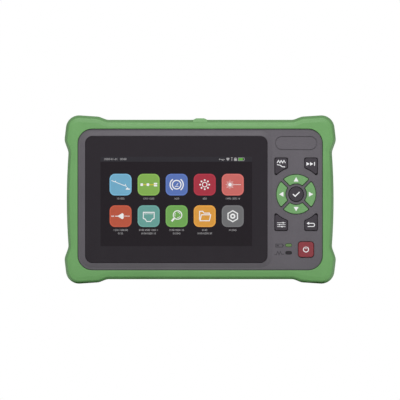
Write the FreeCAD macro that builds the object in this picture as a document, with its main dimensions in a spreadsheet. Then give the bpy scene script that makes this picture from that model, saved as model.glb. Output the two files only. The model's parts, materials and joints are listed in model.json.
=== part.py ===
import FreeCAD, Part
import math
import os
import Sketcher
from FreeCAD import Placement, Rotation, Vector

# Handheld optical time domain reflectometer: two housing shells in a rubber boot, with a
# touch display, a keypad, optical and network ports under a top flap, a battery door and
# a kickstand.  +X to the right seen from the front, the front faces -Y, +Z up.  The origin
# is at the middle of the foot print, on the surface that the boot stands on.  Millimetres.

SIZES = {
    # bumper boot, measured from the middle of the set
    "boot_depth": 50.0,
    "band_half_width": 96.1,
    "band_half_height": 57.4,
    "side_foot_height": 34.2,
    "side_shoulder_height": 42.5,
    "top_shoulder_half_width": 73.0,
    "top_foot_half_width": 67.1,
    # its bowed sides and flared corners, measured from the band's half width and half height
    "band_sag": 1.3,
    "side_shoulder_spread": 1.7,
    "tip_setback": 0.5,
    "top_shoulder_height": 2.3,
    "tip_height": 3.78,
    "tip_round_off": 0.62,
    "tip_round": 9.5,
    "shoulder_round": 8.0,
    "boot_edge_inset": 1.8,
    "boot_edge_reach": 7.0,
    "boot_slope_width": 3.0,
    "boot_slope_drop": 0.6,
    "boot_edge_round": 1.2,
    "lip_edge_round": 0.6,
    "lip_depth": 3.6,
    "boot_fit": 0.1,
    "grip_groove_width": 3.0,
    "grip_groove_depth": 1.0,
    "grip_groove_length": 52.0,
    "grip_groove_pitch": 9.0,
    "grip_groove_corner": 1.4,
    # housing
    "housing_width": 181.5,
    "housing_height": 107.0,
    "housing_round": 13.0,
    "shell_wall": 2.4,
    "panel_width": 176.5,
    "panel_height": 101.9,
    "panel_round": 10.6,
    "panel_fit": 0.12,
    "panel_edge_round": 0.5,
    "panel_sink": 1.4,
    "rear_sink": 1.2,
    "split_depth": 15.0,
    "seal_width": 1.0,
    "seal_depth": 1.0,
    "case_screw_across": 82.2,
    "case_screw_up": 45.2,
    "case_boss_radius": 2.9,
    "case_screw_radius": 1.25,
    "case_head_radius": 2.4,
    "case_head_height": 1.8,
    "case_screw_reach": 8.0,
    "screw_hole_fit": 0.3,
    "rear_boss_radius": 3.6,
    "head_seat_gap": 6.0,
    "pilot_room": 1.0,
    "shank_fit": 0.15,
    "bed_corner": 1.0,
    # display
    "glass_width": 131.1,
    "glass_height": 91.3,
    "glass_round": 5.2,
    "glass_thickness": 1.8,
    "glass_shift": 17.2,
    "glass_fit": 0.2,
    "glass_sink": 0.2,
    "glass_edge_round": 0.25,
    "bezel_rise": 1.0,
    "bezel_slope": 3.1,
    "bezel_rim": 0.5,
    "glue_thickness": 0.3,
    "ledge_width": 4.5,
    "display_width": 120.7,
    "display_height": 75.8,
    "display_thickness": 3.0,
    "display_corner": 1.0,
    "display_gap": 0.1,
    "bracket_width": 130.0,
    "bracket_height": 91.0,
    "bracket_round": 12.0,
    "bracket_thickness": 1.0,
    "bracket_screw_across": 56.0,
    "bracket_screw_up": 43.5,
    "bracket_boss_radius": 1.9,
    "small_screw_radius": 0.9,
    "small_head_radius": 1.7,
    "small_head_height": 1.2,
    "screw_tip_gap": 0.2,
    "flex_width": 20.0,
    "flex_thickness": 0.3,
    "flex_clear": 1.0,
    "flex_overlap": 4.0,
    # keypad
    "pad_shift": 69.1,
    "pad_rise": 3.8,
    "ring_outer": 14.1,
    "ring_inner": 7.7,
    "ring_web": 2.6,
    "ring_corner": 0.7,
    "centre_key_radius": 5.2,
    "corner_key_near": 6.3,
    "corner_key_far": 15.2,
    "corner_key_top": 26.0,
    "corner_key_clear": 20.0,
    "corner_key_low": 9.0,
    "key_corner": 1.2,
    "key_edge_round": 0.4,
    "key_gap": 0.45,
    "key_stand": 1.0,
    "key_flange_lip": 0.9,
    "key_flange_thickness": 0.8,
    "key_travel": 0.7,
    "key_stop_gap": 0.1,
    "plunger_radius": 1.6,
    "ring_plunger_reach": 10.4,
    "corner_plunger_across": 10.6,
    "corner_plunger_up": 22.0,
    "power_key_side": 10.9,
    "power_key_corner": 2.0,
    "power_key_shift": 76.2,
    "power_key_drop": 36.0,
    "lamp_shift": 63.7,
    "upper_lamp_drop": 32.9,
    "lower_lamp_drop": 38.4,
    "lamp_length": 4.4,
    "lamp_width": 2.0,
    "lamp_stand": 0.1,
    "lamp_fit": 0.25,
    "badge_width": 30.4,
    "badge_height": 10.0,
    "badge_rise": 40.6,
    "badge_line": 0.6,
    "badge_depth": 0.6,
    "mat_thickness": 0.8,
    "mat_rim": 1.2,
    "mat_half_width": 14.6,
    "mat_shift": 69.8,
    "mat_top": 33.0,
    "mat_bottom": 42.0,
    "mat_corner": 1.0,
    "mat_gap": 0.1,
    "mat_hole_fit": 0.4,
    "dome_height": 0.35,
    "dome_radius": 2.0,
    "dome_gap": 0.05,
    "board_thickness": 1.6,
    "lamp_chip_height": 0.6,
    # boards and inner modules
    "main_board_width": 155.0,
    "main_board_top": 26.0,
    "main_board_bottom": 41.0,
    "main_board_depth": 22.0,
    "board_corner": 2.0,
    "board_screw_across": 73.0,
    "board_screw_high": 21.0,
    "board_screw_low": 36.0,
    "board_boss_radius": 2.6,
    "board_screw_reach": 2.4,
    "shield_side": 34.0,
    "shield_height": 3.0,
    "shield_drop": 8.0,
    "clock_cell_radius": 10.0,
    "clock_cell_height": 3.2,
    "clock_cell_shift": 34.0,
    "buzzer_radius": 6.0,
    "buzzer_height": 5.0,
    "buzzer_shift": 34.0,
    "module_width": 94.0,
    "module_height": 42.0,
    "module_depth": 13.0,
    "module_shift": 22.0,
    "module_drop": 19.5,
    "tray_radius": 19.5,
    "tray_wall": 0.9,
    "tray_depth": 3.6,
    "coil_inner_radius": 12.0,
    "coil_fit": 0.3,
    "coil_round_share": 0.45,
    # top ports
    "well_half_width": 56.0,
    "well_front": 7.0,
    "well_back": 13.0,
    "well_depth": 15.9,
    "well_floor": 2.0,
    "well_corner": 1.0,
    "plate_thickness": 1.5,
    "plate_fit": 0.3,
    "plate_screw_across": 53.4,
    "port_middle": 3.0,
    "port_drop": 3.5,
    "port_hole_fit": 0.3,
    "port_board_drop": 4.8,
    "port_board_rim": 1.5,
    "charging_jack_shift": 47.0,
    "charging_jack_side": 9.0,
    "charging_bore_radius": 2.9,
    "charging_bore_depth": 9.5,
    "charging_pin_radius": 1.0,
    "charging_pin_drop": 0.5,
    "usb_shift": 32.0,
    "usb_width": 14.4,
    "usb_depth": 7.0,
    "usb_wall": 0.5,
    "usb_slot_depth": 11.0,
    "usb_tongue_thickness": 1.8,
    "usb_tongue_inset": 0.9,
    "usb_tongue_side": 0.6,
    "usb_tongue_drop": 1.0,
    "network_left_shift": 14.0,
    "network_right_shift": 4.0,
    "network_width": 15.8,
    "network_depth": 13.4,
    "network_slot_width": 11.9,
    "network_slot_depth": 7.2,
    "network_slot_reach": 13.0,
    "network_wall": 1.6,
    "latch_width": 6.2,
    "latch_depth": 3.4,
    "contact_pitch": 1.02,
    "contact_width": 0.4,
    "contact_thickness": 0.4,
    "contact_drop": 2.0,
    "fault_shift": 20.0,
    "power_meter_shift": 33.0,
    "trace_port_shift": 46.0,
    "ferrule_radius": 1.26,
    "ferrule_depth": 12.0,
    "sleeve_radius": 2.2,
    "sleeve_recess": 6.0,
    "barrel_radius": 4.0,
    "barrel_wall": 0.9,
    "fault_barrel_radius": 3.6,
    "meter_barrel_radius": 5.2,
    "adaptor_flange_grow": 1.2,
    "adaptor_flange_thickness": 1.2,
    "adaptor_tail": 7.0,
    "detector_length": 4.5,
    "laser_length": 15.0,
    "can_inset": 0.4,
    # top flap
    "flap_half_width": 58.6,
    "flap_front": 9.9,
    "flap_gap": 0.4,
    "flap_corner": 1.0,
    "flap_seat_gap": 0.2,
    "hinge_back": 16.0,
    "hinge_drop": 1.9,
    "hinge_knuckle": 1.8,
    "hinge_clear_back": 3.0,
    "hinge_pin_radius": 0.9,
    "hinge_fit": 0.05,
    "lug_inset": 4.6,
    "lug_length": 4.0,
    "lug_gap": 0.3,
    "hinge_pin_inset": 1.1,
    "hinge_pin_length": 11.0,
    "pin_end_gap": 0.5,
    "tab_base": 10.4,
    "tab_top": 5.8,
    "tab_rise": 1.1,
    "tab_depth": 5.4,
    "tab_sink": 0.5,
    "guard_setback": 0.9,
    "guard_lean": 1.2,
    "flap_skin": 1.5,
    "flap_seal_width": 1.3,
    "flap_seal_depth": 1.7,
    "flap_seal_clear": 0.6,
    "flap_seal_rib": 0.4,
    "flap_seal_corner": 2.0,
    "flap_hollow_corner": 1.0,
    "scoop_radius": 4.0,
    "scoop_lead": 3.2,
    "scoop_half_width": 7.0,
    "scoop_depth": 1.6,
    # battery
    "battery_shift": 57.0,
    "battery_width": 38.6,
    "battery_height": 66.4,
    "battery_depth": 18.4,
    "battery_drop": 7.5,
    "battery_fit": 0.3,
    "battery_round": 6.0,
    "bay_wall": 1.6,
    "door_width": 44.0,
    "door_height": 82.0,
    "door_round": 4.0,
    "door_fit": 0.25,
    "door_thickness": 2.2,
    "door_edge_round": 0.5,
    "door_seal_thickness": 0.6,
    "door_seal_width": 1.4,
    "door_screw_up": 37.4,
    "door_boss_radius": 2.7,
    "door_screw_length": 7.0,
    "door_pilot_wall": 1.0,
    "contact_blade_width": 3.0,
    "contact_blade_thickness": 0.8,
    "contact_blade_pitch": 6.0,
    # kickstand
    "stand_width": 59.6,
    "stand_thickness": 3.0,
    "stand_side_gap": 0.4,
    "stand_door_gap": 5.2,
    "stand_hinge_rise": 3.0,
    "stand_foot_drop": 43.0,
    "stand_bed_gap": 0.3,
    "stand_sink": 0.6,
    "finger_notch": 6.0,
    "stand_pin_radius": 1.25,
    "stand_pin_grip": 6.0,
    "stand_pin_seat": 2.2,
    "stand_corner": 0.4,
    "stand_rib_inset": 5.0,
    "stand_rib_width": 2.0,
    "stand_rib_depth": 0.6,
}

doc = FreeCAD.newDocument("ReflectometerSet")
sheet = doc.addObject("Spreadsheet::Sheet", "Sizes")
for row, (alias, number) in enumerate(SIZES.items(), start=1):
    sheet.set("A%d" % row, alias)
    sheet.set("B%d" % row, str(number))
    sheet.setAlias("B%d" % row, alias)
doc.recompute()


class Size:
    """A length with the formula that ties it to the sheet."""

    def __init__(self, value, text):
        self.value = value
        self.text = text

    @staticmethod
    def of(other):
        if isinstance(other, Size):
            return other
        return Size(float(other), repr(float(other)))

    def __add__(self, other):
        other = Size.of(other)
        return Size(self.value + other.value, "(%s + %s)" % (self.text, other.text))

    def __sub__(self, other):
        other = Size.of(other)
        return Size(self.value - other.value, "(%s - %s)" % (self.text, other.text))

    def __mul__(self, other):
        other = Size.of(other)
        return Size(self.value * other.value, "(%s * %s)" % (self.text, other.text))

    def __truediv__(self, other):
        other = Size.of(other)
        return Size(self.value / other.value, "(%s / %s)" % (self.text, other.text))

    def __rsub__(self, other):
        return Size.of(other) - self

    def __neg__(self):
        return Size(-self.value, "(-1 * %s)" % self.text)

    __radd__ = __add__
    __rmul__ = __mul__


class Driving:
    """The sheet's sizes by name, such as d.shell_wall."""

    def __getattr__(self, alias):
        return Size(float(sheet.get(alias)), "Sizes." + alias)


d = Driving()
NODES = []


def bind(item, path, value):
    item.setExpression(path, Size.of(value).text)


def node(item, label):
    """Name a finished sub-part; its label names its file."""
    item.Label = label
    NODES.append(item)
    return item


# ---- solids from primitives -------------------------------------------------------------

def block(x, y, z):
    """A box between two levels along each axis."""
    item = doc.addObject("Part::Box", "block")
    for side, place, (low, high) in (("Length", "x", x), ("Width", "y", y), ("Height", "z", z)):
        bind(item, side, Size.of(high) - low)
        bind(item, "Placement.Base." + place, low)
    return item


def span(at, size):
    return (at - size / 2, at + size / 2)


TURNS = {"X": Rotation(Vector(0, 1, 0), 90), "Y": Rotation(Vector(1, 0, 0), -90), "Z": Rotation()}


def rod(axis, radius, low, high, across):
    """A cylinder along an axis, between two levels of it; across gives the other two."""
    item = doc.addObject("Part::Cylinder", "rod")
    item.Placement = Placement(Vector(), TURNS[axis])
    places = [name for name in "xyz" if name != axis.lower()]
    bind(item, "Radius", radius)
    bind(item, "Height", Size.of(high) - low)
    bind(item, "Placement.Base." + axis.lower(), low)
    for name, value in zip(places, across):
        bind(item, "Placement.Base." + name, value)
    return item


def fuse(*pieces):
    item = doc.addObject("Part::MultiFuse", "joined")
    item.Shapes = list(pieces)
    item.Refine = True
    return item


def cut(base, *tools):
    item = doc.addObject("Part::Cut", "cut")
    item.Base = base
    item.Tool = tools[0] if len(tools) == 1 else fuse(*tools)
    item.Refine = True
    return item


def group(*pieces):
    """Separate solids that share one node."""
    item = doc.addObject("Part::Compound", "group")
    item.Links = list(pieces)
    return item


# ---- sketched bodies --------------------------------------------------------------------

def body():
    return doc.addObject("PartDesign::Body", "body")


class Drawing:
    """A sketch on one of a body's origin planes, moved along the plane's own normal."""

    def __init__(self, item, plane, level):
        self.sketch = item.newObject("Sketcher::SketchObject", "sketch")
        role = plane + "_Plane"
        support = [feature for feature in item.Origin.OriginFeatures if feature.Role == role][0]
        self.sketch.AttachmentSupport = (support, [""])
        self.sketch.MapMode = "FlatFace"
        bind(self.sketch, "AttachmentOffset.Base.z", level)
        self.rules = []
        self.formulas = {}

    def line(self, start, end):
        return self.sketch.addGeometry(Part.LineSegment(flat(start), flat(end)))

    def circle(self, centre, radius):
        return self.sketch.addGeometry(Part.Circle(flat(centre), UP, Size.of(radius).value))

    def arc(self, centre, radius, first, last):
        """An arc between two angles in radians, anticlockwise."""
        circle = Part.Circle(flat(centre), UP, Size.of(radius).value)
        return self.sketch.addGeometry(Part.ArcOfCircle(circle, first, last))

    def rule(self, kind, *where):
        self.rules.append(Sketcher.Constraint(kind, *where))

    def hold(self, kind, value, *where):
        """A rule whose measure follows the sheet."""
        value = Size.of(value)
        self.formulas[len(self.rules)] = value.text
        self.rule(kind, *where, value.value)

    def pin(self, piece, point, place):
        self.hold("DistanceX", place[0], -1, 1, piece, point)
        self.hold("DistanceY", place[1], -1, 1, piece, point)

    def chain(self, kind, pieces):
        """Join each piece's end to the next one's start, all the way round."""
        for this, following in zip(pieces, pieces[1:] + pieces[:1]):
            self.rule(kind, this, 2, following, 1)

    def finish(self):
        self.sketch.addConstraint(self.rules)
        for index, text in self.formulas.items():
            self.sketch.setExpression("Constraints[%d]" % index, text)
        return self.sketch


UP = Vector(0, 0, 1)
QUARTER = math.pi / 2
PAST = 1.0  # how far a cut runs past the face that it opens
NEAR = 0.001  # two places nearer than this are the same


def flat(place):
    return Vector(Size.of(place[0]).value, Size.of(place[1]).value, 0)


def disc(x, y, radius):
    def draw(drawing):
        piece = drawing.circle((x, y), radius)
        drawing.pin(piece, 3, (x, y))
        drawing.hold("Radius", radius, piece)
    return draw


def discs(spots, radius):
    return [disc(x, y, radius) for x, y in spots]


def polygon(points, bowed=()):
    """Straight sides between the points; a bowed side is an arc of the given radius."""
    bowed = dict(bowed)

    def side(drawing, number, start, end):
        if number not in bowed:
            return drawing.line(start, end)
        radius = bowed[number].value
        start, end = flat(start), flat(end)
        half = (end - start) * 0.5
        inward = Vector(-half.y, half.x, 0).normalize()
        centre = start + half + inward * math.sqrt(radius ** 2 - half.Length ** 2)
        first, last = start - centre, end - centre
        first, last = math.atan2(first.y, first.x), math.atan2(last.y, last.x)
        if last < first:
            last += math.tau
        return drawing.arc((centre.x, centre.y), radius, first, last)

    def draw(drawing):
        ends = list(zip(points, points[1:] + points[:1]))
        pieces = [side(drawing, number, a, b) for number, (a, b) in enumerate(ends)]
        drawing.chain("Coincident", pieces)
        for number, piece in enumerate(pieces):
            if number in bowed:
                drawing.hold("Radius", bowed[number], piece)
                drawing.pin(pieces[number - 1], 2, points[number])
            else:
                drawing.pin(piece, 1, points[number])
    return draw


def rounded(x, y, width, height, corner):
    """A rectangle with round corners, about a middle point."""
    left, right = x - width / 2, x + width / 2
    low, high = y - height / 2, y + height / 2
    inner_left, inner_right = left + corner, right - corner
    inner_low, inner_high = low + corner, high - corner

    def draw(drawing):
        chain = [
            drawing.line((inner_left, low), (inner_right, low)),
            drawing.arc((inner_right, inner_low), corner, -QUARTER, 0),
            drawing.line((right, inner_low), (right, inner_high)),
            drawing.arc((inner_right, inner_high), corner, 0, QUARTER),
            drawing.line((inner_right, high), (inner_left, high)),
            drawing.arc((inner_left, inner_high), corner, QUARTER, QUARTER * 2),
            drawing.line((left, inner_high), (left, inner_low)),
            drawing.arc((inner_left, inner_low), corner, QUARTER * 2, QUARTER * 3),
        ]
        drawing.chain("Tangent", chain)
        for piece in (chain[0], chain[4]):
            drawing.rule("Horizontal", piece)
        for piece in (chain[2], chain[6]):
            drawing.rule("Vertical", piece)
        for piece in (chain[3], chain[5], chain[7]):
            drawing.rule("Equal", chain[1], piece)
        drawing.hold("Radius", corner, chain[1])
        drawing.hold("DistanceY", low, -1, 1, chain[0], 1)
        drawing.hold("DistanceX", right, -1, 1, chain[2], 1)
        drawing.hold("DistanceY", high, -1, 1, chain[4], 1)
        drawing.hold("DistanceX", left, -1, 1, chain[6], 1)
    return draw


def rectangle(x, y, width, height):
    left, right = x - width / 2, x + width / 2
    low, high = y - height / 2, y + height / 2
    return polygon([(left, low), (right, low), (right, high), (left, high)])


def slot(x, y, length, width):
    """A stadium along the sketch's first axis, about a middle point."""
    end = width / 2
    left, right = x - length / 2 + end, x + length / 2 - end

    def draw(drawing):
        chain = [
            drawing.line((left, y - end), (right, y - end)),
            drawing.arc((right, y), end, -QUARTER, QUARTER),
            drawing.line((right, y + end), (left, y + end)),
            drawing.arc((left, y), end, QUARTER, QUARTER * 3),
        ]
        drawing.chain("Tangent", chain)
        drawing.rule("Horizontal", chain[0])
        drawing.rule("Equal", chain[1], chain[3])
        drawing.hold("Radius", end, chain[1])
        drawing.pin(chain[1], 3, (right, y))
        drawing.hold("DistanceX", left, -1, 1, chain[3], 3)
    return draw


def slab(item, plane, outlines, low, high, taking=False):
    """Add, or take away, what the outlines enclose between two levels across the plane."""
    low, high = Size.of(low), Size.of(high)
    if plane == "XZ":
        start = -low if taking else -high
    else:
        start = high if taking else low
    drawing = Drawing(item, plane, start)
    for outline in outlines:
        outline(drawing)
    kind = "PartDesign::Pocket" if taking else "PartDesign::Pad"
    profile = drawing.finish()
    feature = item.newObject(kind, "slab")
    feature.Profile = profile
    feature.Refine = False
    bind(feature, "Length", high - low)
    item.Tip = feature
    return feature


def loft(item, plane, lower, lower_level, upper, upper_level):
    first = Drawing(item, plane, lower_level)
    lower(first)
    second = Drawing(item, plane, upper_level)
    upper(second)
    profiles = [first.finish(), second.finish()]
    feature = item.newObject("PartDesign::AdditiveLoft", "loft")
    feature.Profile = profiles[0]
    feature.Sections = [profiles[1]]
    feature.Ruled = True
    item.Tip = feature
    return feature


def picked(item, chosen):
    """The edges of a body that chosen(edge) picks, as a link to them."""
    doc.recompute()
    edges = enumerate(item.Tip.Shape.Edges, start=1)
    return (item.Tip, ["Edge%d" % number for number, edge in edges if chosen(edge)])


def soften(item, radius, chosen):
    """Round the edges of a body that chosen(edge) picks."""
    link = picked(item, chosen)
    feature = item.newObject("PartDesign::Fillet", "fillet")
    feature.Base = link
    bind(feature, "Radius", radius)
    item.Tip = feature
    return feature


def bevel(item, level, across, along):
    """Slope a body's rim at this distance along Y: so wide across the face, so far along the side."""
    link = picked(item, lambda edge: on_level(edge, level))
    feature = item.newObject("PartDesign::Chamfer", "bevel")
    feature.Base = link
    feature.ChamferType = "Two distances"
    bind(feature, "Size", along)
    bind(feature, "Size2", across)
    item.Tip = feature
    return feature


def along_y(edge):
    box = edge.BoundBox
    return max(box.XLength, box.ZLength) < NEAR < box.YLength


def on_level(edge, level):
    """Whether an edge lies in the plane at this distance along Y."""
    box = edge.BoundBox
    return abs(box.YMin - level.value) < NEAR and abs(box.YMax - level.value) < NEAR


# ---- levels that several sub-parts share ------------------------------------------------

middle = d.band_half_height + d.tip_height - d.tip_round_off
boot_face = -d.boot_depth / 2
boot_back = d.boot_depth / 2
panel_face = boot_face + d.panel_sink
rear_face = boot_back - d.rear_sink
shoulder_front = boot_face + d.lip_depth
shoulder_back = boot_back - d.lip_depth
split = boot_face + d.split_depth
panel_inner = panel_face + d.shell_wall
rear_inner = rear_face - d.shell_wall
bezel_face = panel_face - d.bezel_rise
glass_face = bezel_face + d.glass_sink
glass_back = glass_face + d.glass_thickness
glue_back = glass_back + d.glue_thickness
display_face = glass_back + d.display_gap
display_back = display_face + d.display_thickness
bracket_face = display_back + d.display_gap
bracket_back = bracket_face + d.bracket_thickness
key_face = panel_face - d.key_stand
flange_face = panel_inner + d.key_stop_gap
flange_back = flange_face + d.key_flange_thickness
mat_face = flange_back + d.key_travel + d.mat_gap
mat_back = mat_face + d.mat_thickness
plunger_end = mat_back + d.key_travel
dome_face = plunger_end + d.key_travel + d.dome_gap
keypad_face = dome_face + d.dome_height
keypad_back = keypad_face + d.board_thickness
main_face = boot_face + d.main_board_depth
main_back = main_face + d.board_thickness
head_seat = split + d.head_seat_gap
housing_top = middle + d.housing_height / 2
band_top = middle + d.band_half_height
glass_x = -d.glass_shift
pad_x = d.pad_shift
pad_z = middle + d.pad_rise
power_x = d.power_key_shift
power_z = middle - d.power_key_drop
plate_low = housing_top - d.well_depth
plate_top = plate_low + d.plate_thickness
port_top = housing_top - d.port_drop
floor_low = plate_low - d.well_floor
port_board_top = plate_low - d.port_board_drop
port_board_low = port_board_top - d.board_thickness
hinge_y = d.hinge_back
hinge_z = band_top - d.hinge_drop
lug_far = d.flap_half_width - d.lug_inset
lug_near = lug_far - d.lug_length
hinge_pin_far = d.flap_half_width - d.hinge_pin_inset
hinge_pin_near = hinge_pin_far - d.hinge_pin_length
battery_x = -d.battery_shift
battery_z = middle - d.battery_drop
battery_back = rear_inner - d.battery_fit
battery_face = battery_back - d.battery_depth
bay_face = battery_face - d.battery_fit
door_back = rear_face
door_face = door_back - d.door_thickness
door_ledge = door_face - d.door_seal_thickness
door_boss_end = door_ledge - d.door_screw_length
door_pilot_end = door_boss_end + d.door_pilot_wall
stand_back = rear_face - d.stand_sink
stand_face = stand_back - d.stand_thickness
stand_bed = stand_face - d.stand_bed_gap
stand_axis_y = stand_back - d.stand_thickness / 2
stand_axis_z = middle + d.stand_hinge_rise
stand_foot = middle - d.stand_foot_drop
stand_x = battery_x + d.door_width / 2 + d.stand_door_gap + d.stand_width / 2

SIDES = (-1, 1)
CORNERS = [(a, b) for a in SIDES for b in SIDES]
CASE_SCREWS = [(d.case_screw_across * a, middle + d.case_screw_up * b) for a, b in CORNERS]
BRACKET_SCREWS = [
    (glass_x + d.bracket_screw_across * a, middle + d.bracket_screw_up * b) for a, b in CORNERS
]
BOARD_SCREW_LEVELS = (middle + d.board_screw_high, middle - d.board_screw_low)
BOARD_SCREWS = [(d.board_screw_across * a, z) for a in SIDES for z in BOARD_SCREW_LEVELS]
DOOR_SCREWS = [(battery_x, battery_z + d.door_screw_up * b) for b in SIDES]
PLATE_SCREWS = [(d.plate_screw_across * a, d.port_middle) for a in SIDES]
LUGS = [(-lug_far, -lug_near), (lug_near, lug_far)]
LAMPS = {
    "light_pipe_upper": middle - d.upper_lamp_drop,
    "light_pipe_lower": middle - d.lower_lamp_drop,
}


# ---- keys -------------------------------------------------------------------------------

def quarter_prism(across, up, grow, low, high):
    """A quarter of the direction ring, facing (across, up), its outline grown all round."""
    item = body()
    half_web = d.ring_web / 2 - grow
    apex = half_web * 2 ** 0.5
    outer, inner = d.ring_outer + grow, d.ring_inner - grow
    reach = outer * 2
    corners = [(apex, 0), (apex + reach, -reach), (apex + reach, reach)]
    points = [(pad_x + a * across - b * up, pad_z + a * up + b * across) for a, b in corners]
    slab(item, "XZ", [polygon(points)], low, high)
    slab(item, "XZ", [disc(pad_x, pad_z, outer), disc(pad_x, pad_z, outer * 4)], low, high, taking=True)
    slab(item, "XZ", [disc(pad_x, pad_z, inner)], low, high, taking=True)
    soften(item, d.ring_corner, along_y)
    return item


def corner_prism(across, up, grow, low, high):
    """A corner key's outline, cut to an arc about the direction ring."""
    item = body()
    near, far = d.corner_key_near - grow, d.corner_key_far + grow
    bottom, top = d.corner_key_low, d.corner_key_top + grow
    points = [(near, bottom), (far, bottom), (far, top), (near, top)]
    points = [(pad_x + a * across, pad_z + b * up) for a, b in points]
    slab(item, "XZ", [polygon(points)], low, high)
    slab(item, "XZ", [disc(pad_x, pad_z, d.corner_key_clear - grow)], low, high, taking=True)
    soften(item, d.key_corner, along_y)
    return item


def centre_prism(grow, low, high):
    item = body()
    slab(item, "XZ", [disc(pad_x, pad_z, d.centre_key_radius + grow)], low, high)
    return item


def power_prism(grow, low, high):
    item = body()
    side = d.power_key_side + grow * 2
    slab(item, "XZ", [rounded(power_x, power_z, side, side, d.power_key_corner + grow)], low, high)
    return item


def ring_key(across, up):
    def prism(grow, low, high):
        return quarter_prism(across, up, grow, low, high)
    spot = (pad_x + d.ring_plunger_reach * across, pad_z + d.ring_plunger_reach * up)
    return prism, spot


def corner_key(across, up):
    def prism(grow, low, high):
        return corner_prism(across, up, grow, low, high)
    spot = (pad_x + d.corner_plunger_across * across, pad_z + d.corner_plunger_up * up)
    return prism, spot


KEYS = {
    "key_upper_left": corner_key(-1, 1),
    "key_upper_right": corner_key(1, 1),
    "key_lower_left": corner_key(-1, -1),
    "key_lower_right": corner_key(1, -1),
    "arrow_key_up": ring_key(0, 1),
    "arrow_key_down": ring_key(0, -1),
    "arrow_key_left": ring_key(-1, 0),
    "arrow_key_right": ring_key(1, 0),
    "centre_key": (centre_prism, (pad_x, pad_z)),
    "power_key": (power_prism, (power_x, power_z)),
}


def make_key(name):
    """Cap through the panel, a flange that keeps it in, and a plunger over its dome."""
    prism, spot = KEYS[name]
    cap = prism(0, key_face, flange_face)
    soften(cap, d.key_edge_round, lambda edge: on_level(edge, key_face))
    flange = prism(d.key_flange_lip, flange_face, flange_back)
    plunger = rod("Y", d.plunger_radius, flange_back, plunger_end, spot)
    return node(fuse(cap, flange, plunger), name)


# ---- shells -----------------------------------------------------------------------------

BOOT_TIP = (d.band_half_width - d.tip_setback, d.band_half_height + d.tip_height)
SIDE_BENDS = [
    (d.band_half_width - d.band_sag, d.side_foot_height),
    (d.band_half_width + d.side_shoulder_spread, d.side_shoulder_height),
]
TOP_BENDS = [
    (d.top_shoulder_half_width, d.band_half_height + d.top_shoulder_height),
    (d.top_foot_half_width, d.band_half_height),
]


def boot_outline():
    """The boot's outer corners, a quarter at a time, anticlockwise from the right."""
    quarter = SIDE_BENDS + [BOOT_TIP] + TOP_BENDS
    mirrored = [(-x, z) for x, z in reversed(quarter)]
    upper = quarter + mirrored
    lower = [(-x, -z) for x, z in upper]
    return [(x, middle + z) for x, z in upper + lower]


def near_points(spots):
    def chosen(edge):
        if not along_y(edge):
            return False
        box = edge.BoundBox
        gaps = [abs(box.XMin - x.value) + abs(box.ZMin - z.value) for x, z in spots]
        return min(gaps) < NEAR * 10
    return chosen


def four(x, z):
    return [(x * a, middle + z * b) for a, b in CORNERS]


def ridge(edge):
    """Whether an edge is where the boot's side meets the slope of its face."""
    box = edge.BoundBox
    sunk = boot_back.value - abs(box.YMin)
    return box.YLength < NEAR < sunk < d.boot_slope_drop.value + NEAR


def add_tab_guard(item):
    """The bump on the boot's front rim that covers the flap's finger tab."""
    half_base, half_top = d.tab_base / 2, d.tab_top / 2
    root, crest = band_top - d.boot_edge_inset, band_top + d.tab_rise
    foot, back = boot_face + d.guard_setback, -d.flap_front - d.scoop_lead
    side = [(foot, root), (foot + d.guard_lean, crest), (back, crest), (back, root)]
    slab(item, "YZ", [polygon(side)], -half_base, half_base)
    for way in (-1, 1):
        corner = [(half_base * way, band_top), (half_top * way, crest), (half_base * way, crest)]
        slab(item, "XZ", [polygon(corner)], foot - PAST, back + PAST, taking=True)


def make_boot():
    item = body()
    sag = d.band_sag
    bow = (d.side_foot_height * d.side_foot_height + sag * sag) / (sag * 2)
    outline = boot_outline()
    bowed = {len(outline) // 2 - 1: bow, len(outline) - 1: bow}
    slab(item, "XZ", [polygon(outline, bowed)], boot_face, boot_back)
    soften(item, d.tip_round, near_points(four(*BOOT_TIP)))
    bends = [spot for bend in SIDE_BENDS + TOP_BENDS for spot in four(*bend)]
    soften(item, d.shoulder_round, near_points(bends))
    for level in (boot_face, boot_back):
        bevel(item, level, d.boot_edge_inset, d.boot_edge_reach)
        bevel(item, level, d.boot_slope_width, d.boot_slope_drop)
    soften(item, d.boot_edge_round, ridge)
    add_tab_guard(item)
    inside = housing_outline(-d.boot_fit)
    slab(item, "XZ", [inside], shoulder_front - d.boot_fit, shoulder_back + d.boot_fit, taking=True)
    slab(item, "XZ", [panel_outline(0)], boot_face - PAST, boot_back + PAST, taking=True)
    reach = d.panel_width.value / 2 + NEAR

    def lip(edge):
        box = edge.BoundBox
        inner = max(abs(box.XMin), abs(box.XMax)) < reach
        return inner and (on_level(edge, boot_face) or on_level(edge, boot_back))
    soften(item, d.lip_edge_round, lip)
    gap = d.flap_gap
    flap_back = hinge_y + d.hinge_clear_back
    flap_hole = rounded(
        0, (flap_back - d.flap_front - gap) / 2, (d.flap_half_width + gap) * 2,
        flap_back + d.flap_front + gap, d.flap_corner + gap,
    )
    slab(item, "XY", [flap_hole], housing_top - PAST, band_top + PAST, taking=True)
    scoop_z = band_top - d.scoop_depth + d.scoop_radius
    scoop = disc(-d.flap_front - d.scoop_lead, scoop_z, d.scoop_radius)
    slab(item, "YZ", [scoop], -d.scoop_half_width, d.scoop_half_width, taking=True)
    floor, side = d.band_half_width - d.grip_groove_depth, d.band_half_width + PAST
    for step in (-1, 0, 1):
        y = d.grip_groove_pitch * step
        groove = rounded(y, middle, d.grip_groove_width, d.grip_groove_length, d.grip_groove_corner)
        slab(item, "YZ", [groove], floor, side, taking=True)
        slab(item, "YZ", [groove], -side, -floor, taking=True)
    return node(item, "bumper_boot")


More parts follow.
